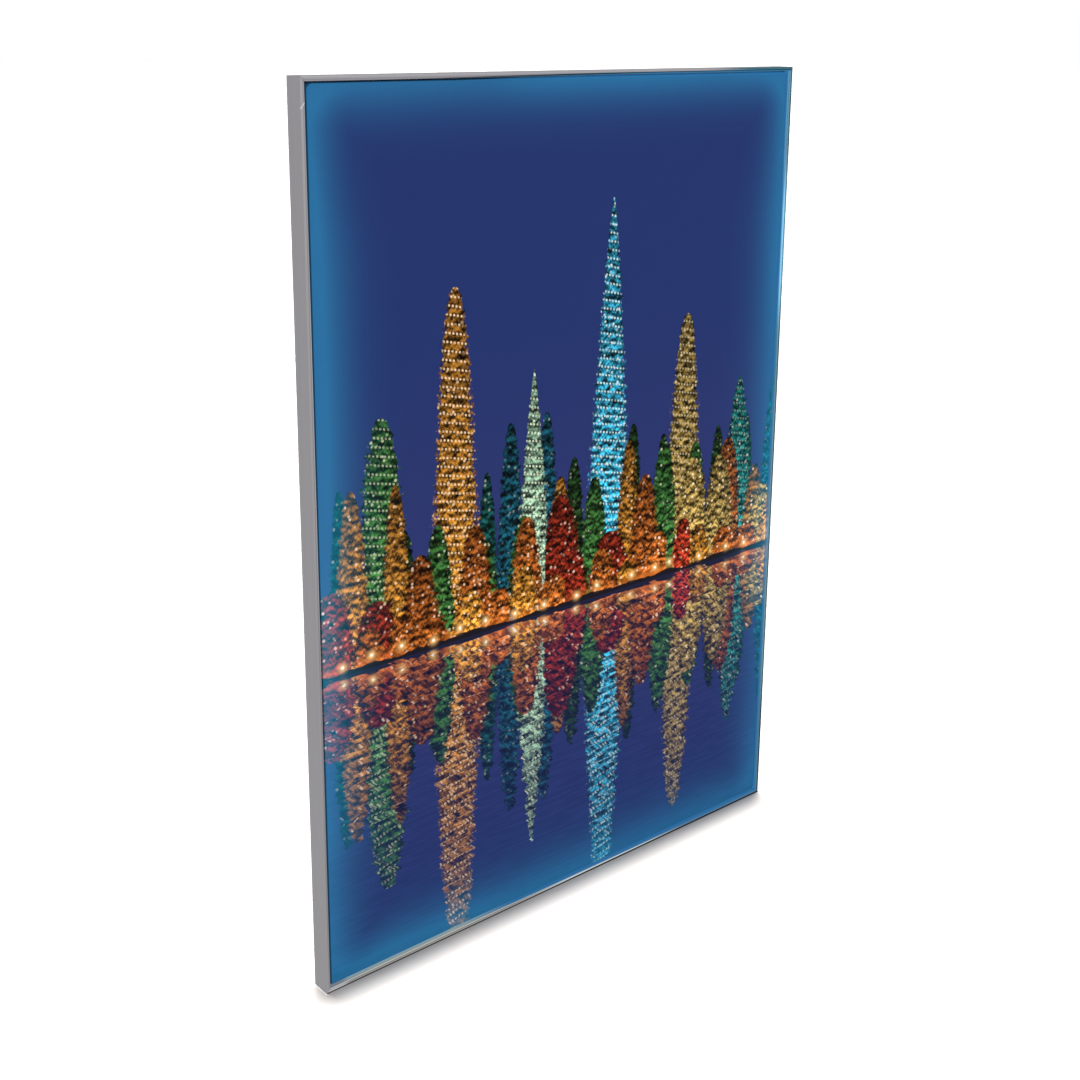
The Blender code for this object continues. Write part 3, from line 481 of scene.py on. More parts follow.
# Colours of the painted light and shade that the touches below lay on the lips
LIT_BASE = (0.012, 0.040, 0.060, 1)
LOW_END_PAINTED_SHADE = (0.012, 0.032, 0.048, 1)
THREAD_OF_LIGHT = (0.105, 0.270, 0.450, 1)
TEAL_END_PAINTED_REFLECTION = (0.052, 0.155, 0.205, 1)
TEAL_ARRIS_PAINTED_REFLECTION = (0.042, 0.090, 0.110, 1)
BLUE_LIGHT_TOP = (0.030, 0.150, 0.310, 1)
GREY_CORNER_PAINTED_GLOW = (0.150, 0.155, 0.160, 1)
BLUE_END_PAINTED_REFLECTION = (0.11, 0.19, 0.30, 1)
OUTER_LINE_PAINTED_SHADE = (0.014, 0.018, 0.022, 1)
PALE_GLEAM = (0.40, 0.46, 0.50, 1)
BLUE_LIGHT_BOTTOM = (0.026, 0.135, 0.310, 1)


def left_touch(graph, at, colour, glow):
    """A bright diagonal nick across the face."""
    nick = graph.near(at.inward, (at.z - NICK_FOOT) * NICK_SLOPE, NICK_HALF, NICK_HALF / 2)
    nick = nick * graph.ramp(at.inward, *NICK_END)
    return graph.mix(nick * at.face, colour, NICK_COLOUR), glow


def right_touch(graph, at, colour, glow):
    """Painted dark shade at the lower end, and a painted thread of light on the inner edge of the upper end.
    """
    colour = graph.mix(at.face * graph.ramp(at.z, 0.17, 0.10, 0.0, 0.7), colour, LOW_END_PAINTED_SHADE)
    thread = at.edge * graph.ramp(at.z, 0.70, 0.76)
    thread = thread * graph.near(at.behind, 2.2 * MM, 1.0 * MM, 0.5 * MM)
    return colour, graph.mix(thread, glow, THREAD_OF_LIGHT)


def top_touch(graph, at, colour, glow):
    """A painted reflection of the print's glow, teal, at the right end, and a painted dark shade line with
    painted blue light below it, which climb the lip from left to right.
    """
    teal = graph.ramp(at.x, 0.17, 0.25) * at.reached
    colour = graph.mix(teal, colour, TEAL_END_PAINTED_REFLECTION)
    colour = graph.mix(teal * at.arris, colour, TEAL_ARRIS_PAINTED_REFLECTION)
    past = at.share - graph.ramp(at.x, -0.30, 0.06, 1.15, 0.54)
    colour = graph.mix(graph.ramp(past, -0.14, -0.02) * at.reached, colour, LIT_BASE)
    past = past - graph.ramp(at.x, 0.0, 0.12, 0.10, -0.04)
    return colour, graph.mix(graph.ramp(past, 0.10, 0.26) * at.reached, glow, BLUE_LIGHT_TOP)


def bottom_touch(graph, at, colour, glow):
    """From left to right: painted grey light at the corner, a painted dark shade line along the outer edge, a
    pale painted gleam, and a blue end, a painted reflection of the print's glow.
    """
    glow = graph.mix(graph.ramp(at.x, -0.275, -0.285), glow, GREY_CORNER_PAINTED_GLOW)
    colour = graph.mix(at.face * graph.ramp(at.x, 0.10, 0.22), colour, BLUE_END_PAINTED_REFLECTION)
    line_width = graph.ramp(at.x, -0.12, 0.08, LIP_ARRIS, 1.7 * LIP_ARRIS)
    line = graph.ramp(at.inward - line_width, 0.0, -0.4 * MM) * at.face * graph.ramp(at.x, -0.2, 0.0)
    colour = graph.mix(line, colour, OUTER_LINE_PAINTED_SHADE)
    gleam = at.face * graph.ramp(at.x, -0.08, 0.02, 0.0, 0.75) - line - graph.ramp(at.x, 0.10, 0.20)
    glow = graph.mix(graph.largest(gleam, 0.0), glow, PALE_GLEAM)
    past = at.share - graph.ramp(at.x, -0.25, 0.12, 1.15, 0.68)
    lit = graph.ramp(past, -0.06, 0.08) * at.reached
    return graph.mix(lit, colour, LIT_BASE), graph.mix(lit, glow, BLUE_LIGHT_BOTTOM)


TOUCHES = {"left": left_touch, "right": right_touch, "top": top_touch, "bottom": bottom_touch}
print("nick ends", round(NICK_FOOT + LIP_WIDTH / NICK_SLOPE, 4), "m up")

# %% Tones of the lip
FACE_DEPTH = 1.2 * MM
FACE_SHADE = (1.2 * MM, 3.0 * MM)
DIE_LINE = 2.5 * MM
LIP_BACK = 7.4 * MM
GLOWING_DEPTH = 9 * MM


def distance_inward(graph, x, z):
    """How far a point lies in from the frame's outer edge."""
    return graph.smallest(HALF_WIDTH - abs(x), TOP / 2 - abs(z - TOP / 2))


def lip_tones_and_painted_light(graph, side, colour, place, lines):
    """The colour of the lip, with its painted highlight and shade, laid over the plain metal, and the painted
    light of the print on its inner edge.
    """
    tones = LIP_TONES_AND_PAINTED_LIGHT[side]
    x, y, z = graph.separate(place)
    behind = y - FRONT
    inward = distance_inward(graph, x, z)
    along = z if side in ("left", "right") else x
    stretch = graph.near(along, tones.middle, tones.reach, tones.reach * 0.3)
    reached = graph.ramp(behind, GLOWING_DEPTH, GLOWING_DEPTH - MM)

    front = graph.ramp(behind, FACE_DEPTH, FACE_DEPTH - 0.2 * MM)
    face = graph.mix(graph.ramp(inward, *FACE_SHADE), tones.outer, tones.inner)
    if side == "right":
        face = graph.mix(stretch * 0.55, face, tones.bright)
    else:
        face = graph.mix(graph.near(inward, DIE_LINE, 0.8 * MM, 0.2 * MM, 0.8), face, LIP_LINE_COLOUR)
    colour = graph.mix(front * graph.ramp(lines, 0.3, 0.6, 0.7, 1.0), colour, face)
    arris = front * graph.ramp(inward, LIP_ARRIS, LIP_ARRIS * 0.7)
    colour = graph.mix(arris, colour, tones.arris)

    edge = graph.ramp(inward, LIP_WIDTH - 0.8 * MM, LIP_WIDTH - 0.5 * MM)
    edge = edge * graph.ramp(inward, LIP_BACK, LIP_BACK - 0.2 * MM) * reached
    glow = graph.mix(stretch, tones.edge, tones.bright)
    deep_from = 2.2 * MM if side == "bottom" else 1.4 * MM
    glow = graph.mix(graph.ramp(behind, deep_from, deep_from + MM), glow, tones.deep)
    glow = graph.mix(edge, NO_LIGHT, glow)
    at = LipPoint(x, z, inward, inward / LIP_WIDTH, behind, front, arris, edge, reached)
    return TOUCHES[side](graph, at, colour, glow)


# %% Satin aluminium
def paint(node, material):
    """Give a CAD solid its finish."""
    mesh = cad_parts[node].data
    mesh.materials.clear()
    mesh.materials.append(material)


# One copy per side, as the copies differ in the painted light and shade of their lips.
def satin_aluminium_and_painted_light(side):
    material, graph, shader = new_material(
        f"satin_aluminium_and_painted_light_{side}", Metallic=1.0, Specular_Tint=GRAZING_TINT, Emission_Strength=1.0
    )
    place = graph.place()
    x, y, z = graph.separate(place)
    along = place if side in ("left", "right") else graph.combine(z, y, x)
    lines = use_group(graph, "extrusion_lines", Place=along)
    edges = use_group(graph, "worn_and_highlit_edges", Place=place, Radius=0.8 * MM, Amount=0.7)["Edges"]
    dust = use_group(graph, "settled_dust", Place=place, Amount=0.2)["Dust"]
    colour = graph.mix(graph.ramp(lines["Lines"], 0.25, 0.8), ALUMINIUM_DARK, ALUMINIUM_COLOUR)
    colour = graph.mix(lines["Bands"] * 0.2, colour, ALUMINIUM_LIGHT)
    # Painted light: the left profile is lighter towards the bottom.
    if side == "left":
        colour = graph.mix(graph.ramp(z, 0.85, 0.0, 0.0, 0.45), colour, ALUMINIUM_LIGHT)
    # Painted shade: the top face of the top profile is darker.
    if side == "top":
        colour = graph.mix(graph.ramp(z, TOP - 0.6 * MM, TOP - 0.3 * MM), colour, TOP_FACE_PAINTED_SHADE)
    # Edges brighter: worn metal, and a painted highlight on the arrises.
    colour = graph.mix(edges, colour, ALUMINIUM_LIGHT)
    colour, glow = lip_tones_and_painted_light(graph, side, colour, place, lines["Lines"])
    graph.feed(shader["Base Color"], graph.mix(dust, colour, DUST_COLOUR))
    # The emission carries the painted glow of the print on the lip.
    graph.feed(shader["Emission Color"], glow)
    graph.feed(shader["Roughness"], lines["Lines"] * 0.16 + dust * 0.3 + 0.29)
    graph.feed(shader["Normal"], graph.bump(lines["Lines"], 0.12, 0.04 * MM))
    return material


for side in SIDES:
    paint(f"{side}_profile", satin_aluminium_and_painted_light(side))
print("painted", len(SIDES), "profiles")

# %% [markdown]
# ## The printed picture: fields
#
# The print shows a lakeside park at blue hour: floodlit trees on the far bank, mirrored in still water under
# a plain deep blue sky. It is drawn by nodes from the Object coordinates, so it has no pixels of its own.
# First come the fields that every tree shares. Below the waterline the height is folded over, which mirrors
# the whole bank, and a little noise that is stretched sideways breaks the mirror image into ripples.

# %% Picture space
PRINT_LOW, PRINT_HIGH = corners_of("print_textile")
PRINT_WIDTH = PRINT_HIGH.x - PRINT_LOW.x
PRINT_HEIGHT = PRINT_HIGH.z - PRINT_LOW.z
PRINT_BOTTOM, PRINT_TOP = PRINT_LOW.z, PRINT_LOW.z + PRINT_HEIGHT
PRINT_MIDDLE = PRINT_BOTTOM + PRINT_HEIGHT / 2
WATERLINE = PRINT_BOTTOM + 0.37 * PRINT_HEIGHT
# Scale, detail and roughness of the noise in the crowns and at their rims
LEAVES = (120.0, 4.0, 0.66)
RIMS = (190.0, 3.0, 0.7)
LEAF_STEP = 3 * MM

print_finish, art, print_shader = new_material("printed_textile", Roughness=0.9, Specular_IOR_Level=0.05)
print_place = art.place()
across, _, upward = art.separate(print_place)
in_water = (upward - WATERLINE) < 0.0
bank_height = abs(upward - WATERLINE)

swell = art.noise(art.combine(across * 9.0, upward * 150.0), 1.0)
chop = art.noise(art.combine(across * 26.0, upward * 320.0, 4.0), 1.0)
wobble = (swell * 0.010 + chop * 0.006 - 0.008) * in_water
mirrored_x = across + wobble * 1.2
mirrored_h = bank_height + wobble
picture_place = art.combine(mirrored_x, mirrored_h)

clumps = art.noise(picture_place, *LEAVES)
clumps_above = art.noise(art.combine(mirrored_x, mirrored_h + LEAF_STEP), *LEAVES)
lit_from_below = art.ramp(clumps - clumps_above, -0.10, 0.14)
ragged = art.noise(picture_place, *RIMS)

sparks = art.node("TexVoronoi", {"Vector": picture_place, "Scale": 165.0, "Randomness": 0.9})
spark_size = art.separate(sparks["Color"])[0]
spark = art.ramp(sparks["Distance"], 0.34, 0.16) * art.ramp(spark_size, 0.25, 0.7)
print("print", round(PRINT_WIDTH, 4), "x", round(PRINT_HEIGHT, 4), "waterline", round(WATERLINE, 4))

# %% [markdown]
# ## The printed picture: trees
#
# A floodlit tree is one group. It takes how far a point is from its trunk and how high, and gives back
# whether the point is in its crown and in what colour. Small lamps sparkle in the crown, and a garland of
# beads winds round it. A second group repeats the tree along a row: it cuts the bank into cells, and a white
# noise of the cell's number gives each tree its own height, width and colour.

# %% One lit tree
GARLAND_PITCH = 8.5 * MM
GARLAND_BEAD = 4.2 * MM
GARLAND_SLOPE = 0.22
BEAD_STAGGER = 0.37
BEAD_REACH = (1.7 * MM, 0.7 * MM)
LEAST_HALF = 0.4 * MM
WARM_SPARK = (1.0, 0.93, 0.72, 1)
TREE_TINT = (1, 0.4, 0.1, 1)

tree_inputs = {"Aside": 0.0, "Above": 0.0, "Tall": 0.2, "Half Width": 0.02, "Taper": 0.6, "Tint": TREE_TINT}
tree_inputs |= {"Light": 1.0, "Ragged": 0.5, "Shade": 0.5, "Spark": 0.0, "Garland": 0.0}
graph, given, result = new_group("lit_tree", tree_inputs, ("Color", "Mask"))
share = given["Above"] / given["Tall"]
remaining = graph.largest(1.0 - share, 0.0)
half = given["Half Width"] * remaining ** given["Taper"] * graph.ramp(share, -0.08, 0.22, 0.35, 1.0)
aside = abs(given["Aside"]) / graph.largest(half, LEAST_HALF)
crown = graph.ramp(aside + given["Ragged"] * 1.3 - 0.55, 1.02, 0.9)
graph.feed(result["Mask"], crown * (share < 1.0) * (given["Above"] > 0.0))

bright = (aside * aside * -0.5 + 1.0) * (remaining**1.3 * 0.75 + 0.4) * given["Shade"] * given["Light"]
leaves = graph.mix(1.0, given["Tint"], graph.grey(graph.largest(bright, 0.0)), "MULTIPLY")
turns = (given["Above"] + given["Aside"] * GARLAND_SLOPE) / GARLAND_PITCH
beads = given["Aside"] / GARLAND_BEAD + graph.math("FLOOR", turns) * BEAD_STAGGER
off_turn = (graph.math("FRACT", turns) - 0.5) * GARLAND_PITCH
off_bead = (graph.math("FRACT", beads) - 0.5) * GARLAND_BEAD
bead = graph.ramp(graph.length(off_turn, off_bead), *BEAD_REACH) * given["Garland"]
bead = bead * graph.ramp(given["Ragged"], 0.30, 0.55)
sparkle = graph.smallest(graph.largest(given["Spark"] * given["Light"] * 0.7, bead), 1.0)
spark_tint = graph.mix(0.55, given["Tint"], WARM_SPARK)
graph.feed(result["Color"], graph.mix(sparkle, leaves, spark_tint))
print("group", graph.tree.name, "has", len(graph.tree.nodes), "nodes")

# %% A row of them
row_inputs = {"Across": 0.0, "Above": 0.0, "Spacing": 0.05, "Shift": 0.0, "Lowest": 0.1, "Highest": 0.2}
row_inputs |= {"Half Width": 0.02, "Taper": 0.6, "First Tint": TREE_TINT, "Second Tint": TREE_TINT}
row_inputs |= {"Third Tint": TREE_TINT, "Light": 1.0, "Ragged": 0.5, "Shade": 0.5, "Spark": 0.0}
graph, given, result = new_group("row_of_lit_trees", row_inputs, ("Color", "Mask"))
cell = given["Across"] / given["Spacing"] + given["Shift"]
number = graph.math("FLOOR", cell)
lot = graph.node("TexWhiteNoise", {"Vector": graph.combine(number, given["Shift"])}, noise_dimensions="2D")
lot_a, lot_b, lot_c = graph.separate(lot["Color"])
first_or_second = graph.mix(lot_c > 0.36, given["First Tint"], given["Second Tint"])
tree = use_group(
    graph,
    "lit_tree",
    Aside=(cell - number - (lot_a * 0.4 + 0.3)) * given["Spacing"],
    Above=given["Above"],
    Tall=(given["Highest"] - given["Lowest"]) * lot_b + given["Lowest"],
    Half_Width=given["Half Width"] * (lot_c * 0.4 + 0.75),
    Taper=given["Taper"],
    Tint=graph.mix(lot_c > 0.7, first_or_second, given["Third Tint"]),
    Light=given["Light"] * (lot_a * 0.6 + 0.7),
    Ragged=given["Ragged"],
    Shade=given["Shade"],
    Spark=given["Spark"],
)
graph.feed(result["Color"], tree["Color"])
graph.feed(result["Mask"], tree["Mask"])
print("group", graph.tree.name, "has", len(graph.tree.nodes), "nodes")

# %% [markdown]
# ## The printed picture: composition
#
# The picture is laid like scenery, from the back: sky, hills, far trees, the tall trees that stand alone,
# near trees, shrubs, and the lamps along the bank. Each layer covers what is behind it through its mask.

# %% Sky, hills and trees
SKY_HIGH = (0.0165, 0.033, 0.145, 1)
SKY_LOW = (0.027, 0.036, 0.150, 1)
AMBER = (0.95, 0.40, 0.05, 1)
GOLD = (0.85, 0.58, 0.16, 1)
ORANGE = (0.75, 0.20, 0.03, 1)
RED = (0.55, 0.05, 0.02, 1)
GREEN = (0.10, 0.36, 0.08, 1)
TEAL = (0.03, 0.38, 0.34, 1)
CYAN = (0.05, 0.55, 0.85, 1)
PALE = (0.55, 0.90, 0.62, 1)
# Colour, lowest ridge, swing and scale
HILLS = (((0.013, 0.022, 0.075, 1), 0.055, 0.060, 5.0), ((0.006, 0.013, 0.040, 1), 0.028, 0.048, 9.0))
ROW_NAMES = ("Spacing", "Shift", "Lowest", "Highest", "Half_Width", "Taper")
ROW_NAMES += ("First_Tint", "Second_Tint", "Third_Tint", "Light")
ROWS = (
    (0.041, 3.3, 0.120, 0.215, 0.0215, 0.42, TEAL, GREEN, CYAN, 0.42),
    (0.049, 7.9, 0.090, 0.180, 0.0275, 0.40, AMBER, GREEN, ORANGE, 0.95),
    (0.057, 1.6, 0.060, 0.125, 0.0330, 0.38, ORANGE, GOLD, RED, 1.25),
    (0.036, 5.2, 0.028, 0.060, 0.0250, 0.36, RED, AMBER, ORANGE, 1.6),
)
# The trunk's place across comes before these
TREE_NAMES = ("Tall", "Half_Width", "Taper", "Tint", "Light", "Garland")
TALL_TREES = (
    (-0.228, 0.235, 0.037, 0.38, GREEN, 1.0, 0.6),
    (0.243, 0.205, 0.033, 0.55, TEAL, 1.1, 0.3),
    (0.158, 0.285, 0.033, 0.40, GOLD, 0.9, 0.5),
    (-0.145, 0.345, 0.034, 0.40, AMBER, 1.0, 0.9),
    (0.050, 0.415, 0.040, 0.75, CYAN, 1.5, 1.0),
    (-0.050, 0.255, 0.029, 0.75, PALE, 1.2, 0.8),
)

shade = art.ramp(clumps, 0.30, 0.72) * (lit_from_below * 1.1 + 0.25)
shared = {"Above": mirrored_h, "Ragged": ragged, "Shade": shade, "Spark": spark}


def plant(picture, group, names, values, **place):
    """Lay one tree or one row of trees over the picture."""
    layer = use_group(art, group, **dict(zip(names, values)), **place, **shared)
    return art.mix(layer["Mask"], picture, layer["Color"])


picture = art.mix(art.ramp(mirrored_h, 0.0, 0.32), SKY_LOW, SKY_HIGH)
for colour, lowest, swing, scale in HILLS:
    ridge = art.noise(art.combine(mirrored_x, scale), scale, 5.0, 0.5) * swing + lowest
    picture = art.mix(art.ramp(mirrored_h - ridge, MM, -MM), picture, colour)
picture = plant(picture, "row_of_lit_trees", ROW_NAMES, ROWS[0], Across=mirrored_x)
for trunk_x, *values in TALL_TREES:
    picture = plant(picture, "lit_tree", TREE_NAMES, values, Aside=mirrored_x - trunk_x)
for values in ROWS[1:]:
    picture = plant(picture, "row_of_lit_trees", ROW_NAMES, values, Across=mirrored_x)
print("picture of", len(ROWS), "rows and", len(TALL_TREES), "tall trees")

# %% Lamps on the bank and still water
LAMP_SPACING = 36 * MM
LAMP_HEIGHT = 9 * MM
LAMP_REACH = 12 * MM
LAMP_BULB = (1.9 * MM, 1.3 * MM)
BANK_HEIGHT = 3.5 * MM
BANK_SOFT = 0.4 * MM
LAMP_LIGHT = (1.0, 0.62, 0.22, 1)
BULB_LIGHT = (1.0, 0.95, 0.80, 1)
BANK_LIGHT = (0.65, 0.16, 0.02, 1)
BANK_DARK = (0.010, 0.008, 0.012, 1)
WATER = (0.0155, 0.031, 0.138, 1)

lit_bank = art.ramp(art.noise(art.combine(mirrored_x, 2.0), 14.0, 3.0, 0.6), 0.42, 0.62)
lit_bank = lit_bank * art.ramp(mirrored_h, 16 * MM, 4 * MM)
picture = art.mix(lit_bank * 0.8, picture, BANK_LIGHT)
bank_edge = art.ramp(art.noise(art.combine(mirrored_x, 8.0), 20.0, 4.0, 0.6), 0.25, 0.75, 0.3, 2.2)
bank_edge = mirrored_h - bank_edge * BANK_HEIGHT
picture = art.mix(art.ramp(bank_edge, BANK_SOFT, -BANK_SOFT), picture, BANK_DARK)

lamp_cell = mirrored_x / LAMP_SPACING + 0.31
lamp_lot = art.node("TexWhiteNoise", {"W": art.math("FLOOR", lamp_cell)}, noise_dimensions="1D")
lot_a, lot_b, _ = art.separate(lamp_lot["Color"])
lamp_aside = (art.math("FRACT", lamp_cell) - (lot_a * 0.5 + 0.25)) * LAMP_SPACING
lamp_above = mirrored_h - (lot_b * LAMP_HEIGHT + LAMP_HEIGHT * 0.7)
from_lamp = art.length(lamp_aside, lamp_above)
picture = art.mix(art.ramp(from_lamp, LAMP_REACH, 0.0) ** 3.0 * 0.85, picture, LAMP_LIGHT)
picture = art.mix(art.ramp(from_lamp, *LAMP_BULB), picture, BULB_LIGHT)

depth = art.ramp(bank_height, 0.0, 0.30, 0.22, 0.42)
picture = art.mix(depth * in_water, picture, WATER)
glints = (art.ramp(chop, 0.35, 0.75, 0.9, 1.12) - 1.0) * in_water + 1.0
picture = art.mix(1.0, picture, art.grey(glints), "MULTIPLY")
print("a lamp every", LAMP_SPACING, "m along the bank")

# %% [markdown]
# ## The print's own light
#
# LEDs along all four edges shine into the light guide, so the print glows most at its rim: a cyan blue band
# that fades over about 50 mm, sooner at the top, with round inner corners. It isn't even: a slow noise and
# five broad spots make it strongest halfway up the left edge and weakest near three of the corners. The lit
# window sits to the right of the print, so a thin dark line stays along its left edge and the left part of
# its top. The picture goes half into the base colour, which the room lights, and half into the emission,
# which stands for the light from behind.

# %% Edge glow
GLOW_COLOUR = (0.006, 0.118, 0.192, 1)
GLOW_REACH = 28 * MM
GLOW_REACH_TOP = 23 * MM
GLOW_FADE = 1.35
GLOW_CORNER = 45 * MM
# Place across, height, reach, gain
GLOW_SPOTS = (
    (-0.290, 0.600, 0.30, 0.50),
    (-0.190, 0.846, 0.16, -0.16),
    (-0.190, 0.005, 0.11, 0.22),
    (-0.297, 0.070, 0.09, -0.24),
    (0.297, 0.160, 0.16, -0.24),
)
SPOT_CORE = 50 * MM
UNDER_LIP_PAINTED_LIGHT = (0.026, 0.185, 0.440, 1)

out_x = abs(across) - (PRINT_WIDTH / 2 - GLOW_CORNER)
out_z = abs(upward - PRINT_MIDDLE) - (PRINT_HEIGHT / 2 - GLOW_CORNER)
beyond = art.length(art.largest(out_x, 0.0), art.largest(out_z, 0.0))
inward = GLOW_CORNER - (beyond + art.smallest(art.largest(out_x, out_z), 0.0))
reach = art.ramp(upward, TOP - 0.17, TOP - 0.07, GLOW_REACH, GLOW_REACH_TOP)
fade = (art.largest(inward, 0.0) / reach) ** GLOW_FADE
uneven = art.noise(print_place, 4.0, 1.0) * 0.5 + 0.75 - across * (TOP - upward) * 0.8
for spot_x, spot_z, spot_reach, gain in GLOW_SPOTS:
    spot = art.node("VectorMath", {0: print_place, 1: (spot_x, FRONT, spot_z)}, operation="DISTANCE")
    uneven = uneven + art.ramp(spot["Value"], spot_reach, SPOT_CORE, 0.0, gain)
glow = art.mix(art.math("EXPONENT", fade * -1.0) * uneven, NO_LIGHT, GLOW_COLOUR)
picture = art.mix(1.0, picture, glow, "ADD")
# Painted light: just under the top lip, on its right half, the picture turns a lighter blue, making up for
# the lip's shade on the print.
painted_light_under_lip = art.ramp(PRINT_TOP - upward, 3.5 * MM, 0.8 * MM) * art.ramp(across, -0.10, 0.05, 0.0, 0.55)
picture = art.mix(painted_light_under_lip, picture, UNDER_LIP_PAINTED_LIGHT)
print("glow reaches", GLOW_REACH, "m, and", GLOW_REACH_TOP, "m at the top")

# %% Lit window and textile
BACKLIGHT_SHARE = 0.45
BASE_SHARE = (0.5, 0.5, 0.5, 1)
UNLIT_LEFT = 2.3 * MM
UNLIT_TOP = 1.0 * MM
WINDOW_CORNER = 5.5 * MM
SOFT_RIM = 0.3 * MM
UNLIT_COLOUR = (0.002, 0.004, 0.004, 1)
THREAD = 0.42 * MM

from_left = across + (PRINT_WIDTH / 2 - UNLIT_LEFT)
from_top = PRINT_TOP - upward - art.ramp(across, -0.15, 0.0, UNLIT_TOP, -UNLIT_TOP)
short_x, short_z = (art.largest(WINDOW_CORNER - inside, 0.0) for inside in (from_left, from_top))
window = art.ramp(WINDOW_CORNER - art.length(short_x, short_z), -SOFT_RIM, SOFT_RIM)
# Outside the lit window the base colour is painted dark as well: painted shade.
reflected = art.mix(1.0, picture, BASE_SHARE, "MULTIPLY")
reflected = art.mix(window, art.mix(0.6, reflected, UNLIT_COLOUR), reflected)
lit = art.mix(1.0, picture, art.grey(window * 0.9 + 0.1), "MULTIPLY")
print_shader["Emission Strength"].default_value = BACKLIGHT_SHARE
art.feed(print_shader["Base Color"], reflected)
art.feed(print_shader["Emission Color"], lit)
threads = art.node("TexVoronoi", {"Vector": print_place, "Scale": 1 / THREAD, "Randomness": 0.25})
art.feed(print_shader["Normal"], art.bump(threads["Distance"], 0.15, 0.03 * MM))
print("the print's material has", len(art.tree.nodes), "nodes")

# %% [markdown]
# ## The textile sheet
#
# A textile print for such a frame is a stretched knit with a flat silicone strip sewn along each edge. The
# cloth turns round the strip and goes back with it into the groove, so the picture ends in a soft round fold.
# A grid gives the flat face, a bevel rounds its corners, and its rim is extruded back and bevelled into the
# fold. Solidify gives the cloth its thickness.

# %% Helpers for new pieces
WELD = 0.01 * MM
SHARP = math.radians(35)


def finished(name, shape, material, body):
    """Turn a bmesh into a piece that sits at the origin and rides on a body."""
    bmesh.ops.remove_doubles(shape, verts=shape.verts, dist=WELD)
    bmesh.ops.recalc_face_normals(shape, faces=shape.faces)
    obj = as_object(name, shape, material)
    obj.data.set_sharp_from_angle(angle=SHARP)
    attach(obj, body)
    return obj


def new_verts(made):
    return [part for part in made["geom"] if isinstance(part, bmesh.types.BMVert)]


def bevel(shape, parts, width, segments, affect="EDGES", clamp=False):
    """Rounds these edges or corners."""
    bmesh.ops.bevel(
        shape, geom=parts, offset=width, offset_type="OFFSET", affect=affect, segments=segments,
        profile=0.5, material=-1, clamp_overlap=clamp,
    )


def quarter_turn(shape, degrees):
    bmesh.ops.rotate(shape, verts=shape.verts, matrix=Matrix.Rotation(math.radians(degrees), 3, "X"))


# %% Stretched print with its fold
CLOTH = 0.4 * MM
FOLD = 1.1 * MM
HEM = 9.2 * MM
CORNER_ROUND = 4 * MM

shape = bmesh.new()
bmesh.ops.create_grid(shape, x_segments=48, y_segments=68, size=0.5)
bmesh.ops.scale(shape, vec=(PRINT_WIDTH, PRINT_HEIGHT, 1), verts=shape.verts)
corners = [vert for vert in shape.verts if len(vert.link_faces) == 1]
bevel(shape, corners, CORNER_ROUND, 4, affect="VERTICES")
quarter_turn(shape, 90)
rim = [edge for edge in shape.edges if edge.is_boundary]
skirt = bmesh.ops.extrude_edge_only(shape, edges=rim)
bmesh.ops.translate(shape, verts=new_verts(skirt), vec=(0, HEM, 0))
bevel(shape, rim, FOLD, 4)
bmesh.ops.translate(shape, verts=shape.verts, vec=(0, PRINT_LOW.y, PRINT_MIDDLE))
bmesh.ops.recalc_face_normals(shape, faces=shape.faces)
front_face = min(shape.faces, key=lambda face: face.calc_center_median().y)
if front_face.normal.y > 0:
    bmesh.ops.reverse_faces(shape, faces=shape.faces)
textile = as_object("textile_sheet", shape, print_finish)
thickness = textile.modifiers.new("cloth thickness", "SOLIDIFY")
thickness.thickness = CLOTH
thickness.offset = -1
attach(textile, "print")
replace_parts(textile, "print_textile")
print("sheet has", len(textile.data.polygons), "faces")

# %% [markdown]
# ## Silicone strips and their seam
#
# The strip is 2 mm thick with fine grip grooves on its inner side, which hold it in the profile. It is a
# block with bevelled long edges, cut into bands, every second of which is inset into a groove. The thread of
# the seam lies along the cloth's turned edge: one short stitch after another, each a stretched icosphere.

# %% Silicone and thread
SILICONE_TONES = ((0.66, 0.68, 0.68, 1), (0.78, 0.79, 0.78, 1))
THREAD_TONES = ((0.50, 0.51, 0.52, 1), (0.80, 0.80, 0.78, 1))

silicone, graph, shader = new_material("clear_silicone", Transmission_Weight=0.25, IOR=1.41)
grain = use_group(graph, "fine_grain", Place=graph.place(), Size=1.2 * MM)
milky = graph.mix(graph.ramp(grain["Clouds"], 0.3, 0.7), *SILICONE_TONES)
graph.feed(shader["Base Color"], milky)
graph.feed(shader["Roughness"], grain["Grain"] * 0.2 + 0.32)

thread, graph, shader = new_material("seam_thread", Roughness=0.8)
wave = {"Vector": graph.place(), "Scale": 900.0, "Distortion": 1.0}
twist = graph.node("TexWave", wave, bands_direction="DIAGONAL")["Fac"]
graph.feed(shader["Base Color"], graph.mix(twist, *THREAD_TONES))
graph.feed(shader["Normal"], graph.bump(twist, 0.4, 0.04 * MM))
print("made", silicone.name, "and", thread.name)

# %% Strips and seams
STRIP_THICKNESS = 2.05 * MM
STRIP_BEVEL = 0.45 * MM
STRIP_BANDS = 11
STRIP_GAP = 0.05 * MM
GROOVE_RIM = 0.12 * MM
GROOVE_DEPTH = 0.22 * MM
STITCH_PITCH = 4.2 * MM
STITCH_LENGTH = 3.3 * MM
THREAD_THICKNESS = 0.26 * MM
SEAM_BACK = 5.2 * MM


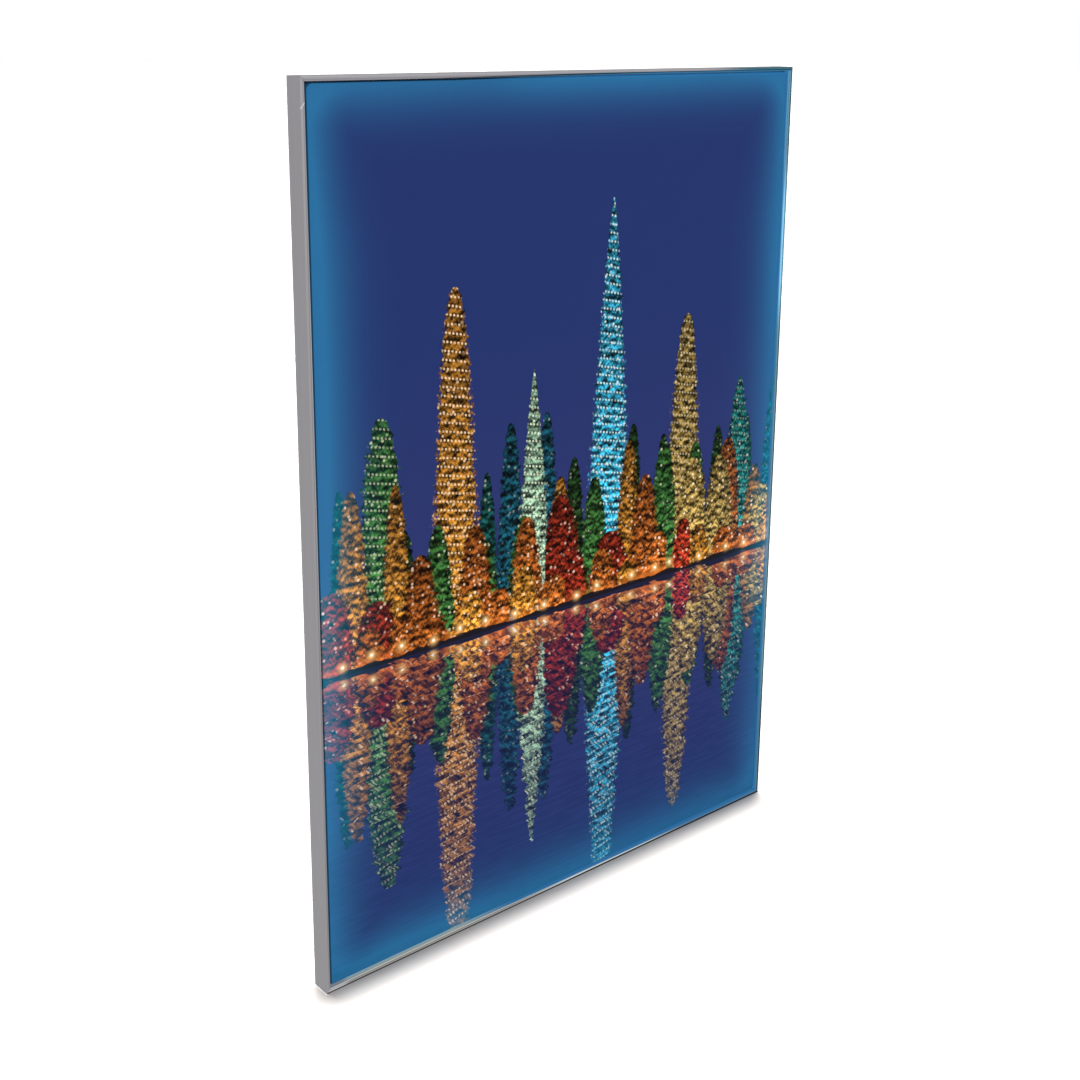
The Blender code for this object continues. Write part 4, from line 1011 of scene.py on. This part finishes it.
def side_frame(side):
    """Carries (along, inward, back) of one side of the print into the world, from the middle of its edge."""
    along, inward_way, (x, z) = {
        "left": ((0, 0, 1), (1, 0, 0), (-PRINT_WIDTH / 2, PRINT_MIDDLE)),
        "right": ((0, 0, 1), (-1, 0, 0), (PRINT_WIDTH / 2, PRINT_MIDDLE)),
        "bottom": ((1, 0, 0), (0, 0, 1), (0, PRINT_BOTTOM)),
        "top": ((1, 0, 0), (0, 0, -1), (0, PRINT_TOP)),
    }[side]
    columns = Matrix((along, inward_way, (0, 1, 0))).transposed().to_4x4()
    return Matrix.Translation((x, PRINT_LOW.y, z)) @ columns


def strip_shape(length, depth, back):
    """A bevelled block with grip grooves on its inner side, set back behind the cloth."""
    shape = bmesh.new()
    bmesh.ops.create_cube(shape, size=1)
    bmesh.ops.scale(shape, vec=(length, STRIP_THICKNESS, depth), verts=shape.verts)
    bevel(shape, [edge for edge in shape.edges if edge.calc_length() > length / 2], STRIP_BEVEL, 3)
    for number in range(1, STRIP_BANDS):
        height = (number / STRIP_BANDS - 0.5) * (depth - 2 * STRIP_BEVEL)
        everything = [*shape.verts, *shape.edges, *shape.faces]
        bmesh.ops.bisect_plane(shape, geom=everything, plane_co=(0, 0, height), plane_no=(0, 0, 1))
    shape.faces.ensure_lookup_table()
    inner = [face for face in shape.faces if face.normal.y > 0.99]
    inner.sort(key=lambda face: face.calc_center_median().z)
    bmesh.ops.inset_individual(shape, faces=inner[1::2], thickness=GROOVE_RIM, depth=-GROOVE_DEPTH)
    bmesh.ops.translate(shape, verts=shape.verts, vec=(0, CLOTH + STRIP_GAP + STRIP_THICKNESS / 2, back))
    return shape


def seam_shape(length):
    """A row of stitches."""
    shape = bmesh.new()
    count = int(length / STITCH_PITCH)
    size = Matrix.Diagonal((STITCH_LENGTH / 2, THREAD_THICKNESS / 2, THREAD_THICKNESS / 2, 1))
    for number in range(count):
        along = (number - (count - 1) / 2) * STITCH_PITCH
        stitch = Matrix.Translation((along, 0, SEAM_BACK)) @ size
        bmesh.ops.create_icosphere(shape, subdivisions=1, radius=1, matrix=stitch)
    return shape


strips, seams = [], []
for side in SIDES:
    node = f"keder_{side}"
    lowest, highest = corners_of(node)
    size = highest - lowest
    length, depth = max(size.x, size.z), size.y
    strip = strip_shape(length, depth, lowest.y - PRINT_LOW.y + depth / 2)
    seam = seam_shape(length)
    for shape in (strip, seam):
        bmesh.ops.transform(shape, verts=shape.verts, matrix=side_frame(side))
    strips.append(finished(f"silicone_strip_{side}", strip, silicone, "print"))
    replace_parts(strips[-1], node)
    seams.append(finished(f"seam_{side}", seam, thread, "print"))
    print(side, "strip of", round(length, 3), "m")

# %% [markdown]
# ## Steel, sheets and plastics
#
# The fittings are zinc-plated steel, cloudy, and brighter on edges from wear and a painted highlight. Black
# plastic has the fine grain of a moulded part, rubber is dull and chalky, and the back panel is a plain matt
# sheet. Inside, the opal diffuser glows most along its edges, the light guide has a pattern of printed dots,
# and a yellow chip marks each LED.


# %% Finishes of the fittings
def grained(name, tones, size, rough, bump=0.2, **fixed):
    """A material whose colour drifts between two tones and whose grain varies roughness and bump."""
    material, graph, shader = new_material(name, **fixed)
    place = graph.place()
    grain = use_group(graph, "fine_grain", Place=place, Size=size)
    graph.feed(shader["Roughness"], graph.ramp(grain["Grain"], 0.25, 0.75, *rough))
    graph.feed(shader["Normal"], graph.bump(grain["Grain"], bump, 0.03 * MM))
    return material, graph, shader, place, graph.mix(graph.ramp(grain["Clouds"], 0.3, 0.7), *tones)


# The two tones, the tone of the edges, worn and with a painted highlight, the grain's size, the range of the
# roughness, the bump, how metallic it is, how much the edges are worn and highlit and how much dust there is
Aged = collections.namedtuple("Aged", "dark light edge size rough bump metallic wear dust")
AGED = {
    "zinc_steel": Aged(
        (0.42, 0.44, 0.47, 1), (0.58, 0.58, 0.56, 1), (0.72, 0.72, 0.70, 1),
        1.2 * MM, (0.30, 0.46), 0.2, 1.0, 0.8, 0.2,
    ),
    "black_plastic": Aged(
        (0.016, 0.016, 0.018, 1), (0.028, 0.028, 0.029, 1), (0.06, 0.06, 0.06, 1),
        0.4 * MM, (0.42, 0.6), 0.5, 0.0, 0.6, 0.3,
    ),
    "black_rubber": Aged(
        (0.018, 0.018, 0.018, 1), (0.040, 0.039, 0.037, 1), (0.07, 0.07, 0.065, 1),
        0.6 * MM, (0.75, 0.95), 0.2, 0.0, 0.7, 0.4,
    ),
    "back_sheet": Aged(
        (0.600, 0.609, 0.618, 1), (0.630, 0.639, 0.648, 1), (0.80, 0.80, 0.79, 1),
        0.5 * MM, (0.45, 0.66), 0.5, 0.0, 0.5, 0.2,
    ),
    "lead_jacket": Aged(
        (0.74, 0.74, 0.71, 1), (0.82, 0.82, 0.80, 1), (0.84, 0.84, 0.82, 1),
        1.5 * MM, (0.42, 0.55), 0.2, 0.0, 0.3, 0.2,
    ),
    "white_reflector": Aged(
        (0.88, 0.89, 0.90, 1), (0.93, 0.93, 0.93, 1), (0.94, 0.94, 0.94, 1),
        0.9 * MM, (0.45, 0.6), 0.2, 0.0, 0.3, 0.1,
    ),
}


def aged(name, look):
    """A grained material with edges brighter from wear and a painted highlight, and settled dust."""
    tones = (look.dark, look.light)
    made = grained(name, tones, look.size, look.rough, look.bump, Metallic=look.metallic)
    material, graph, shader, place, colour = made
    edges = use_group(graph, "worn_and_highlit_edges", Place=place, Radius=0.4 * MM, Amount=look.wear)["Edges"]
    dust = use_group(graph, "settled_dust", Place=place, Amount=look.dust)["Dust"]
    colour = graph.mix(edges, colour, look.edge)
    graph.feed(shader["Base Color"], graph.mix(dust, colour, DUST_COLOUR))
    return material


FITTINGS = {name: aged(name, look) for name, look in AGED.items()}
print("finishes:", ", ".join(FITTINGS))

# %% Sheets that give light
DOT_PITCH = 2.5 * MM
OPAL_TONES = ((0.84, 0.86, 0.88, 1), (0.88, 0.89, 0.90, 1))
GUIDE_TONES = ((0.86, 0.92, 0.94, 1), (0.95, 0.95, 0.95, 1))
OPAL_LIGHT = (0.55, 0.80, 1.0, 1)

made = grained("opal_diffuser", OPAL_TONES, 0.8 * MM, (0.42, 0.52), Emission_Strength=0.6)
opal, graph, shader, place, colour = made
x, _, z = graph.separate(place)
lit = graph.ramp(distance_inward(graph, x, z), 0.06, 0.0, 0.45, 1.0)
graph.feed(shader["Base Color"], colour)
graph.feed(shader["Emission Color"], graph.mix(lit, NO_LIGHT, OPAL_LIGHT))

guide, graph, shader = new_material("light_guide_acrylic", Transmission_Weight=0.9, IOR=1.49)
dots = graph.node("TexVoronoi", {"Vector": graph.place(), "Scale": 1 / DOT_PITCH, "Randomness": 0.0})
dot = graph.ramp(dots["Distance"], 0.30, 0.22)
graph.feed(shader["Base Color"], graph.mix(dot, *GUIDE_TONES))
graph.feed(shader["Roughness"], dot * 0.6 + 0.08)
print("made", opal.name, "and", guide.name)

# %% Boards
CHIP_PITCH = 14 * MM
CHIP_BASE = 10.65 * MM
PHOSPHOR_RADIUS = 1.1 * MM
PHOSPHOR = (0.85, 0.70, 0.16, 1)
LED_LIGHT = (0.60, 0.85, 1.0, 1)
BOARD_TONES = ((0.82, 0.82, 0.79, 1), (0.87, 0.87, 0.84, 1))


def led_board(side):
    """A white board with a yellow phosphor on each chip."""
    made = grained(f"white_led_board_{side}", BOARD_TONES, 0.7 * MM, (0.3, 0.45), Emission_Strength=1.0)
    board, graph, shader, place, colour = made
    x, y, z = graph.separate(place)
    on_chip = distance_inward(graph, x, z) > CHIP_BASE
    lowest, highest = corners_of(f"led_bar_{side}")
    middle = (lowest + highest) / 2
    if side in ("left", "right"):
        along = z - middle.z
    else:
        along = x - (middle.x - CHIP_PITCH / 2)
    along = graph.math("FLOORED_MODULO", along, CHIP_PITCH) - CHIP_PITCH / 2
    off = graph.length(along, y - middle.y)
    phosphor = on_chip * graph.ramp(off, PHOSPHOR_RADIUS, PHOSPHOR_RADIUS * 0.9)
    graph.feed(shader["Base Color"], graph.mix(phosphor, colour, PHOSPHOR))
    graph.feed(shader["Emission Color"], graph.mix(phosphor, NO_LIGHT, LED_LIGHT))
    return board


TRACK_GREEN = (0.05, 0.30, 0.10, 1)
GREEN_TONES = ((0.010, 0.11, 0.035, 1), (0.016, 0.15, 0.050, 1))
green_board, graph, shader, place, colour = grained("green_circuit_board", GREEN_TONES, 0.8 * MM, (0.3, 0.45))
tracks = graph.node("TexBrick", {"Vector": place, "Scale": 500, "Mortar Size": 0.05})["Fac"]
graph.feed(shader["Base Color"], graph.mix(tracks, colour, TRACK_GREEN))

PAINTED = {
    "back_panel": FITTINGS["back_sheet"],
    "reflector_sheet": FITTINGS["white_reflector"],
    "light_guide": guide,
    "diffuser_sheet": opal,
    "junction_board": green_board,
    "power_inlet": FITTINGS["black_plastic"],
}
PAINTED |= {f"led_bar_{side}": led_board(side) for side in SIDES}
for node in ("feed_lead", "led_jumper_top_left", "led_jumper_top_right", "led_jumper_bottom_left"):
    PAINTED[node] = FITTINGS["lead_jacket"]
for side in ("left", "right"):
    PAINTED[f"hanger_slider_{side}"] = FITTINGS["zinc_steel"]
for node, finish in PAINTED.items():
    paint(node, finish)
print("painted", len(PAINTED), "inner solids and fittings")

# %% [markdown]
# ## Pieces with broken edges
#
# A stamped plate or a moulded lid never ends in a knife edge. These pieces start as copies of their CAD
# solids: the loose triangles are merged, flat areas dissolved into single faces, and every sharp edge is
# bevelled by a fraction of a millimetre, so that it catches a thin line of light.

# %% Plates, brackets and box
BRACKET_CORNERS = ("top_left", "top_right", "bottom_left", "bottom_right")


def broken_edges(node, chamfer, finish, body):
    """A copy of a CAD solid with a narrow bevel along its sharp edges."""
    shape = bmesh.new()
    shape.from_mesh(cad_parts[node].data)
    bmesh.ops.remove_doubles(shape, verts=shape.verts, dist=WELD)
    bmesh.ops.dissolve_limit(shape, angle_limit=math.radians(1), verts=shape.verts, edges=shape.edges)
    sharp = [edge for edge in shape.edges if edge.calc_face_angle(0) > SHARP]
    bevel(shape, sharp, chamfer, 1, clamp=True)
    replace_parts(finished(f"finished_{node}", shape, FITTINGS[finish], body), node)


for corner in BRACKET_CORNERS:
    broken_edges(f"corner_bracket_{corner}", 0.2 * MM, "zinc_steel", "frame")
for side in ("left", "right"):
    broken_edges(f"hanger_plate_{side}", 0.15 * MM, "zinc_steel", f"{side}_hanger")
for node in ("power_box", "power_box_cover"):
    broken_edges(node, 0.2 * MM, "black_plastic", "frame")
print("broke the edges of", len(BRACKET_CORNERS) + 4, "solids")

# %% [markdown]
# ## Screws and buttons
#
# Each screw is turned: a ring of points is extruded down its outline of radii and heights, and closed below.
# The head starts as the drive recess, a hexagon or a cross, joined to the first ring by bridging, and the
# recess face is then pushed in and tapered. Equal screws are copies in one piece.

# %% Turned shapes
RING = 24


def cross_face(shape, width):
    """A plus sign: a three by three grid without its corners, made one face."""
    bmesh.ops.create_grid(shape, x_segments=3, y_segments=3, size=width / 2)
    centres = {face: face.calc_center_median() for face in shape.faces}
    outer = [face for face, centre in centres.items() if min(abs(centre.x), abs(centre.y)) > width / 10]
    bmesh.ops.delete(shape, geom=outer, context="FACES")
    bmesh.ops.dissolve_faces(shape, faces=shape.faces)


def hex_face(shape, width):
    bmesh.ops.create_circle(shape, cap_ends=True, segments=6, radius=width / 2)


def turned(outline, recess=None, width=0.0, depth=0.0, taper=1.0):
    """A turned solid along Y, its top at the back. outline is (radius, height) from the top rim down."""
    shape = bmesh.new()
    (radius, height), *lower = outline
    top = height
    if recess:
        recess(shape, width)
        mouth = list(shape.edges)
        floor_face = shape.faces[:][0]
        ring = bmesh.ops.create_circle(shape, cap_ends=False, segments=RING, radius=radius)
        ring_edges = list({edge for vert in ring["verts"] for edge in vert.link_edges})
        bmesh.ops.bridge_loops(shape, edges=mouth + ring_edges)
        pushed = bmesh.ops.extrude_discrete_faces(shape, faces=[floor_face])["faces"][0]
        bmesh.ops.translate(shape, verts=pushed.verts, vec=(0, 0, -depth))
        bmesh.ops.scale(shape, verts=pushed.verts, vec=(taper, taper, 1))
    else:
        bmesh.ops.create_circle(shape, cap_ends=True, segments=RING, radius=radius)
    for next_radius, next_height in lower:
        rim = [edge for edge in shape.edges if edge.is_boundary]
        verts = new_verts(bmesh.ops.extrude_edge_only(shape, edges=rim))
        share = next_radius / radius
        bmesh.ops.scale(shape, verts=verts, vec=(share, share, 1))
        bmesh.ops.translate(shape, verts=verts, vec=(0, 0, next_height - height))
        radius, height = next_radius, next_height
    bmesh.ops.holes_fill(shape, edges=[edge for edge in shape.edges if edge.is_boundary], sides=0)
    bmesh.ops.translate(shape, verts=shape.verts, vec=(0, 0, top))
    quarter_turn(shape, -90)
    return shape


def replace_turned(name, shape, nodes, finish, body):
    """Puts a copy of a turned solid in the place of each of these CAD solids, all as one piece."""
    whole = [*shape.verts, *shape.edges, *shape.faces]
    first = list(shape.verts)
    places = []
    for node in nodes:
        lowest, highest = corners_of(node)
        middle = (lowest + highest) / 2
        places.append(Vector((middle.x, lowest.y, middle.z)))
    for place in places[1:]:
        copy = bmesh.ops.duplicate(shape, geom=whole)
        bmesh.ops.translate(shape, verts=new_verts(copy), vec=place)
    bmesh.ops.translate(shape, verts=first, vec=places[0])
    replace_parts(finished(name, shape, FITTINGS[finish], body), *nodes)


# %% Screws and rubber buttons
# Radii with heights in millimetres: of the head, down from its top, and of the tip, up from its end
PAN_HEAD = [(1.75, 0), (2.35, 0.12), (2.66, 0.4), (2.8, 0.85), (2.8, 2), (1.5, 2)], [(1.5, 0.49), (1.1, 0)]
LID_HEAD = [(1.2, 0), (1.6, 0.12), (1.8, 0.4), (1.8, 0.7), (1.0, 0.7)], [(1.0, 0.39), (0.7, 0)]
FLAT_HEAD = [(3.2, 0), (3.35, 0.08), (2.0, 1.4)], [(2.0, 0.39), (1.6, 0)]
SET_SCREW = [(2.1, 0), (2.5, 0.4)], [(2.5, 0.59), (1.8, 0)]
BUTTON = [(4.6, 0), (5.4, 0.1), (5.85, 0.4), (6.0, 0.9), (6.0, 1.5), (2.95, 1.5)], [(2.95, 0.39), (2.5, 0)]

# The drive recess, its width and depth in millimetres, and how it tapers
PAN_DRIVE = (cross_face, 2.9 * MM, 1.3 * MM, 0.45)
LID_DRIVE = (cross_face, 1.8 * MM, 0.45 * MM, 0.5)
SET_DRIVE = (hex_face, 2.8 * MM, 1.6 * MM, 0.9)
CLAMP_DRIVE = (hex_face, 2.8 * MM, 1.1 * MM, 0.9)

panel_nodes = [f"panel_screw_{number}" for number in range(1, 9)]
set_nodes = [f"set_screw_{corner}_{leg}" for corner in BRACKET_CORNERS for leg in ("upright", "level")]
TURNED = [
    ("panel_screws", panel_nodes, PAN_HEAD, PAN_DRIVE, "zinc_steel", "frame"),
    ("cover_screws", ["cover_screw_1", "cover_screw_2"], LID_HEAD, LID_DRIVE, "zinc_steel", "frame"),
    ("set_screws", set_nodes, SET_SCREW, SET_DRIVE, "zinc_steel", "frame"),
]
for side in ("left", "right"):
    clamp_node = [f"hanger_clamp_screw_{side}"]
    clamp_screw = (f"clamp_screw_{side}", clamp_node, FLAT_HEAD, CLAMP_DRIVE, "zinc_steel", f"{side}_hanger")
    TURNED.append(clamp_screw)
TURNED.append(("rubber_buttons", ["bumper_left", "bumper_right"], BUTTON, (), "black_rubber", "frame"))

for name, nodes, (head, tip), drive, finish, body in TURNED:
    lowest, highest = corners_of(nodes[0])
    outline = [(radius * MM, highest.y - lowest.y - below * MM) for radius, below in head]
    outline += [(radius * MM, above * MM) for radius, above in tip]
    replace_turned(name, turned(outline, *drive), nodes, finish, body)
    print(name, "replace", len(nodes), "solids")
